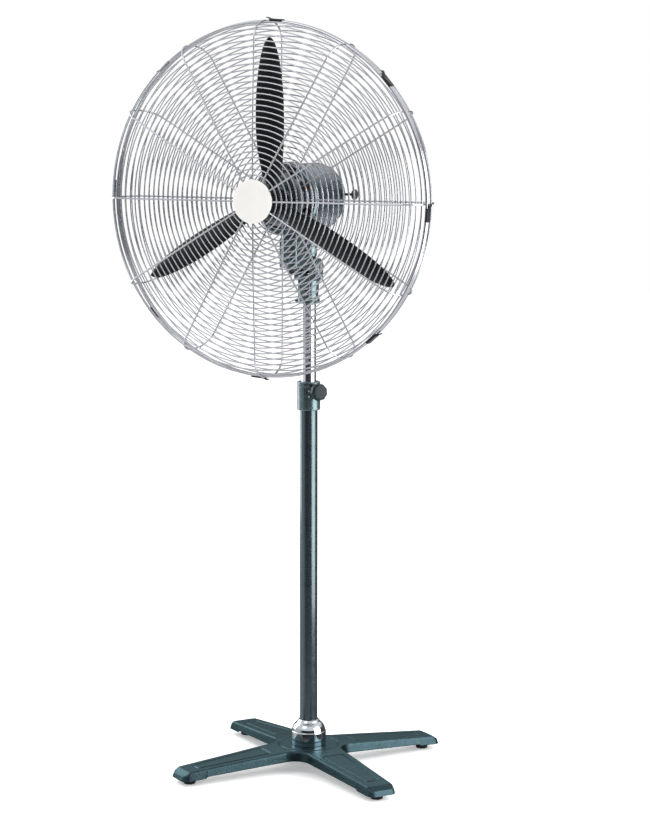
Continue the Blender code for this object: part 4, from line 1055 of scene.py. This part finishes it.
def cage(name, node, rim_y, way, depth, rise, inner):
    """One half of the guard: rim, concentric rings, and ribs that lie outside the rings."""
    spot, length = guard_line(depth, rise, inner)
    axis = facing((0, way, 0), (0, rim_y, HUB_Z))
    bm = bmesh.new()
    spin(bm, round_wire(GUARD_R, 0, RIM_WIRE, 12), 180, ring=True, at=axis)
    piece(name + "_rim", bm, "wire", "head", node, sharp=80)
    bm = bmesh.new()
    count = int(length / RING_PITCH)
    pitch = length / count
    for index in range(1, count):
        radius, height = spot(index * pitch)
        steps = int(max(48, radius * 380))
        spin(bm, round_wire(radius, height - RING_SINK, RING_WIRE, 8), steps, ring=True, at=axis)
    radius, height = spot(length)
    spin(bm, round_wire(radius, height, INNER_RING_WIRE, 10), 96, ring=True, at=axis)
    piece(name + "_rings", bm, "wire", "head", node, sharp=80)
    bm = bmesh.new()
    off = RING_WIRE + RIB_WIRE - WELD
    for rib in range(RIBS):
        turn = round_z(rib * 2 * pi / RIBS)
        points = []
        count = 70
        for step in range(count + 1):
            distance = length * step / count
            r, h = spot(distance)
            r2, h2 = spot(min(length, distance + 0.0005))
            r1, h1 = spot(max(0.0, distance - 0.0005))
            along = Vector((r2 - r1, h2 - h1)).normalized()
            outward = Vector((-along.y, along.x))
            if outward.dot(Vector((r - 0.2, h + 0.05))) <= 0 and outward.y <= 0:
                outward = -outward
            settle = min(1.0, distance / 0.012)
            spread, lift = outward.x * off * settle, outward.y * off * settle
            points.append(turn @ Vector((r + spread, 0, h + lift)))
        sweep(bm, [axis @ p for p in points], RIB_WIRE, 8)
    piece(name + "_ribs", bm, "wire", "head", node, sharp=80)


def guards():
    """Both cages, the nut that holds the rear one, and the cap in the middle of the front one."""
    cage("front_cage", "front_guard", RIM_FRONT_Y, -1, 0.0535, 0.009, 0.046)
    cage("rear_cage", "rear_guard", RIM_REAR_Y, 1, 0.06, 0.002, 0.0555)

    bm = bmesh.new()
    ring = [(0.0503, 0.131), (0.06, 0.131), (0.06, 0.137), (0.0503, 0.137)]
    turned(bm, ring, 0.0012, 96, True, FAN_AXIS)
    for lug in range(12):
        turn = round_z((lug + 0.5) * pi / 6)
        at = FAN_AXIS @ turn @ shift(0.0602, 0, 0)
        slab(bm, rounded_box(0.003, 0.007, 0.0012, 3), 0.1315, 0.1365, 0.0008, at)
    piece("cage_ring_nut", bm, "ring", "head", "guard_ring_nut")

    bm = bmesh.new()
    turns = [pi / 2 * i / 24 for i in range(24)]
    dome = [(0.049 * sin(t), 0.2648 + 0.0052 * cos(t) ** 0.8) for t in turns]
    rim = [(0.049, 0.264), (0.0482, 0.2634), (0.044, 0.2634), (0, 0.2634)]
    spin(bm, [(0, 0.27)] + dome[1:] + rim, 128, at=FAN_AXIS)
    piece("centre_cap", bm, "cream", "head", "front_badge", sharp=50)


def clips():
    """Bent strips that hold the two rims together, each with a flared tab to open it by."""
    inner, outer = 0.3962, 0.4024
    wall, half, reach = 0.0013, 0.0086, 0.015
    c_shape = [(inner, -half), (outer, -half), (outer, half), (inner, half)]
    c_shape += [(inner, half - wall), (outer - wall, half - wall)]
    c_shape += [(outer - wall, -half + wall), (inner, -half + wall)]
    flare = [(outer - wall, 0.0), (outer - wall, 0.006)]
    flare += [(outer + 0.0012, 0.0125), (outer + 0.0016, 0.0165)]
    for index in range(CLIPS):
        angle = radians(CLIP_TURN) + index * 2 * pi / CLIPS
        at = shift(0, RIM_Y, HUB_Z) @ Matrix.Rotation(-angle, 4, "Y")
        bm = bmesh.new()
        slab(bm, eased(c_shape, 0.0009, ring=True, steps=3), -reach, reach, 0.0004, at)
        tab = flare + [(r + wall, z) for r, z in reversed(flare)]
        stand = at @ shift(0, 0, reach - 0.006) @ Matrix.Rotation(pi / 2, 4, "X")
        slab(bm, eased(tab, 0.0005, ring=True, steps=3), -0.0045, 0.0045, 0.0004, stand)
        piece(f"cage_clip_{index + 1}", bm, "clip", "head", f"rim_clip_{index + 1}", sharp=35)


# ---- CAD nodes that stay ----

KEPT = {
    "pole_plug": "steel", "base_bolt": "zinc", "collar_bush": "plastic",
    "inner_pole_glide": "plastic", "swivel_pin": "steel", "swivel_bush": "bronze",
    "gearbox_housing": "motor", "crank_link": "zinc", "crank_disc": "zinc",
    "crank_gear": "nylon", "worm_wheel": "nylon", "stator_core": "laminations",
    "winding_front": "copper", "winding_rear": "copper", "front_bearing": "steel",
    "rear_bearing": "steel", "speed_switch": "plastic", "capacitor": "aluminium",
    "cable_gland": "plastic", "rotor_core": "laminations", "rotor_shaft": "steel",
}


def dress_kept():
    """Materials for the inner CAD nodes, which are shown as they are."""
    for name, finish in KEPT.items():
        material, slot = FINISHES[finish]
        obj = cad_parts[name]
        for place in obj.material_slots:
            place.link = "OBJECT"
            place.material = material
        obj.data.shade_smooth()
        obj.data.set_sharp_from_angle(angle=radians(32))


# ---- studio ----

CAMERA_TURN = 28.31             # degrees from the fan's front towards +X
CAMERA_PITCH = 8.03
# brightness of the studio round the horizon, by degrees to the right of the camera's own direction
HORIZON = ((-180, 0.16), (-140, 0.3), (-110, 0.9), (-64, 0.8), (-48, 0.25), (-38, 0.03), (20, 0.02),
           (34, 0.2), (44, 1.4), (70, 1.4), (84, 0.9), (100, 0.4), (150, 0.3), (180, 0.16))
# brightness above, below and straight above, each with the heights over which it comes in
CEILING = (1.3, 0.22, 0.5)
OVERHEAD = (0.7, 0.84, 0.94)
GROUND = (1.1, -0.26, -0.5)
COOL_WHITE = (0.96, 0.99, 1.0)
FLOOR_R = 14.0
FLOOR_GLOW = 0.3


def camera():
    data = bpy.data.cameras.new("camera")
    data.sensor_width = 36.0
    data.lens = 104.18
    data.shift_x, data.shift_y = 0.02, 0.0234
    data.clip_end = 60.0
    obj = put("camera", data)
    obj.location = (2.6423, -4.9062, 1.5876)
    obj.rotation_euler = (radians(90 - CAMERA_PITCH), 0, radians(CAMERA_TURN))
    bpy.context.scene.camera = obj


def soft_light(name, turn, distance, height, width, tall, power, aim_z=0.9):
    """Rectangular lamp, aimed at a point on the mast."""
    data = bpy.data.lights.new(name, "AREA")
    data.shape = "RECTANGLE"
    data.size, data.size_y = width, tall
    data.energy = power
    obj = put(name, data)
    obj.location = heading(turn, distance, height)
    aim = Vector((0, 0, aim_z)) - obj.location
    obj.rotation_euler = aim.to_track_quat("-Z", "Y").to_euler()


def surroundings():
    """Pale studio, uneven round the horizon so that plating has something to mirror. It looks white."""
    world = bpy.data.worlds.new("studio")
    bpy.context.scene.world = world
    world.use_nodes = True
    tree = world.node_tree
    tree.nodes.clear()
    link = tree.links.new

    def add(kind, **settings):
        return add_node(tree, kind, **settings)

    way = add("ShaderNodeTexCoord").outputs["Generated"]
    turn = add("ShaderNodeMath", operation="ARCTAN2")
    for socket, degrees in zip(turn.inputs, (CAMERA_TURN + 90, CAMERA_TURN)):
        dot = add("ShaderNodeVectorMath", operation="DOT_PRODUCT")
        dot.inputs[1].default_value = heading(degrees)
        link(way, dot.inputs[0])
        link(dot.outputs["Value"], socket)
    spread = add("ShaderNodeMapRange")
    fill(spread, From_Min=-pi, From_Max=pi)
    link(turn.outputs[0], spread.inputs["Value"])
    ramp = add("ShaderNodeValToRGB")
    stops = ramp.color_ramp.elements
    for index, (degrees, level) in enumerate(HORIZON):
        stop = stops[index] if index < 2 else stops.new(0.5)
        stop.position = degrees / 360 + 0.5
        stop.color = (*[level * c for c in COOL_WHITE], 1)
    link(spread.outputs["Result"], ramp.inputs["Fac"])
    split = add("ShaderNodeSeparateXYZ")
    link(way, split.inputs[0])
    colour = ramp.outputs["Color"]
    for level, start, full in (CEILING, OVERHEAD, GROUND):
        zone = add("ShaderNodeMapRange", interpolation_type="SMOOTHSTEP")
        fill(zone, From_Min=start, From_Max=full)
        link(split.outputs["Z"], zone.inputs["Value"])
        mix = add("ShaderNodeMix", data_type="RGBA")
        colours = colour_sockets(mix.inputs)
        colours[1].default_value = (level, level, level, 1)
        link(zone.outputs["Result"], mix.inputs["Factor"])
        link(colour, colours[0])
        colour = colour_sockets(mix.outputs)[0]
    lit = add("ShaderNodeBackground")
    link(colour, lit.inputs["Color"])
    seen = add("ShaderNodeBackground")
    fill(seen, Color=(1, 1, 1, 1))
    choose = add("ShaderNodeMixShader")
    link(add("ShaderNodeLightPath").outputs["Is Camera Ray"], choose.inputs["Fac"])
    link(lit.outputs[0], choose.inputs[1])
    link(seen.outputs[0], choose.inputs[2])
    link(choose.outputs[0], add("ShaderNodeOutputWorld").inputs["Surface"])


def studio():
    surroundings()
    soft_light("right_light", CAMERA_TURN + 66, 2.3, 1.00, 2.1, 2.4, 84)
    soft_light("left_light", CAMERA_TURN - 125, 2.3, 1.3, 1.7, 2.2, 34)
    soft_light("key_light", -12, 2.6, 3.4, 1.6, 1.6, 18, 1.2)
    bm = bmesh.new()
    bmesh.ops.create_circle(bm, cap_ends=True, segments=96, radius=FLOOR_R)
    floor = put_mesh("floor", bm)
    n = Nodes("floor_paint")
    n.link(n.tinted(n.ranged(n.noise(2.0, 3.0), 0.0, 1.0), (0.91, 0.91, 0.91), (0.94, 0.94, 0.94)),
           n.shader.inputs["Base Color"])
    n.set(Roughness=0.9, Specular_IOR_Level=0.1, Emission_Color=(1, 1, 1, 1))
    seen = n.add("ShaderNodeLightPath").outputs["Is Camera Ray"]
    n.link(n.ranged(seen, 0.0, FLOOR_GLOW, 0.0, 1.0), n.shader.inputs["Emission Strength"])
    floor.visible_glossy = False
    floor.data.materials.append(n.material)
    bpy.context.scene.view_settings.view_transform = "Standard"


cast_base()
foot_pads()
poles()
collar()
lock()
neck()
tilt_head()
motor_front()
motor_rear()
gearbox_cover()
clutch_knob()
switch_box()
speed_knob()
fan()
guards()
clips()
dress_kept()
camera()
studio()
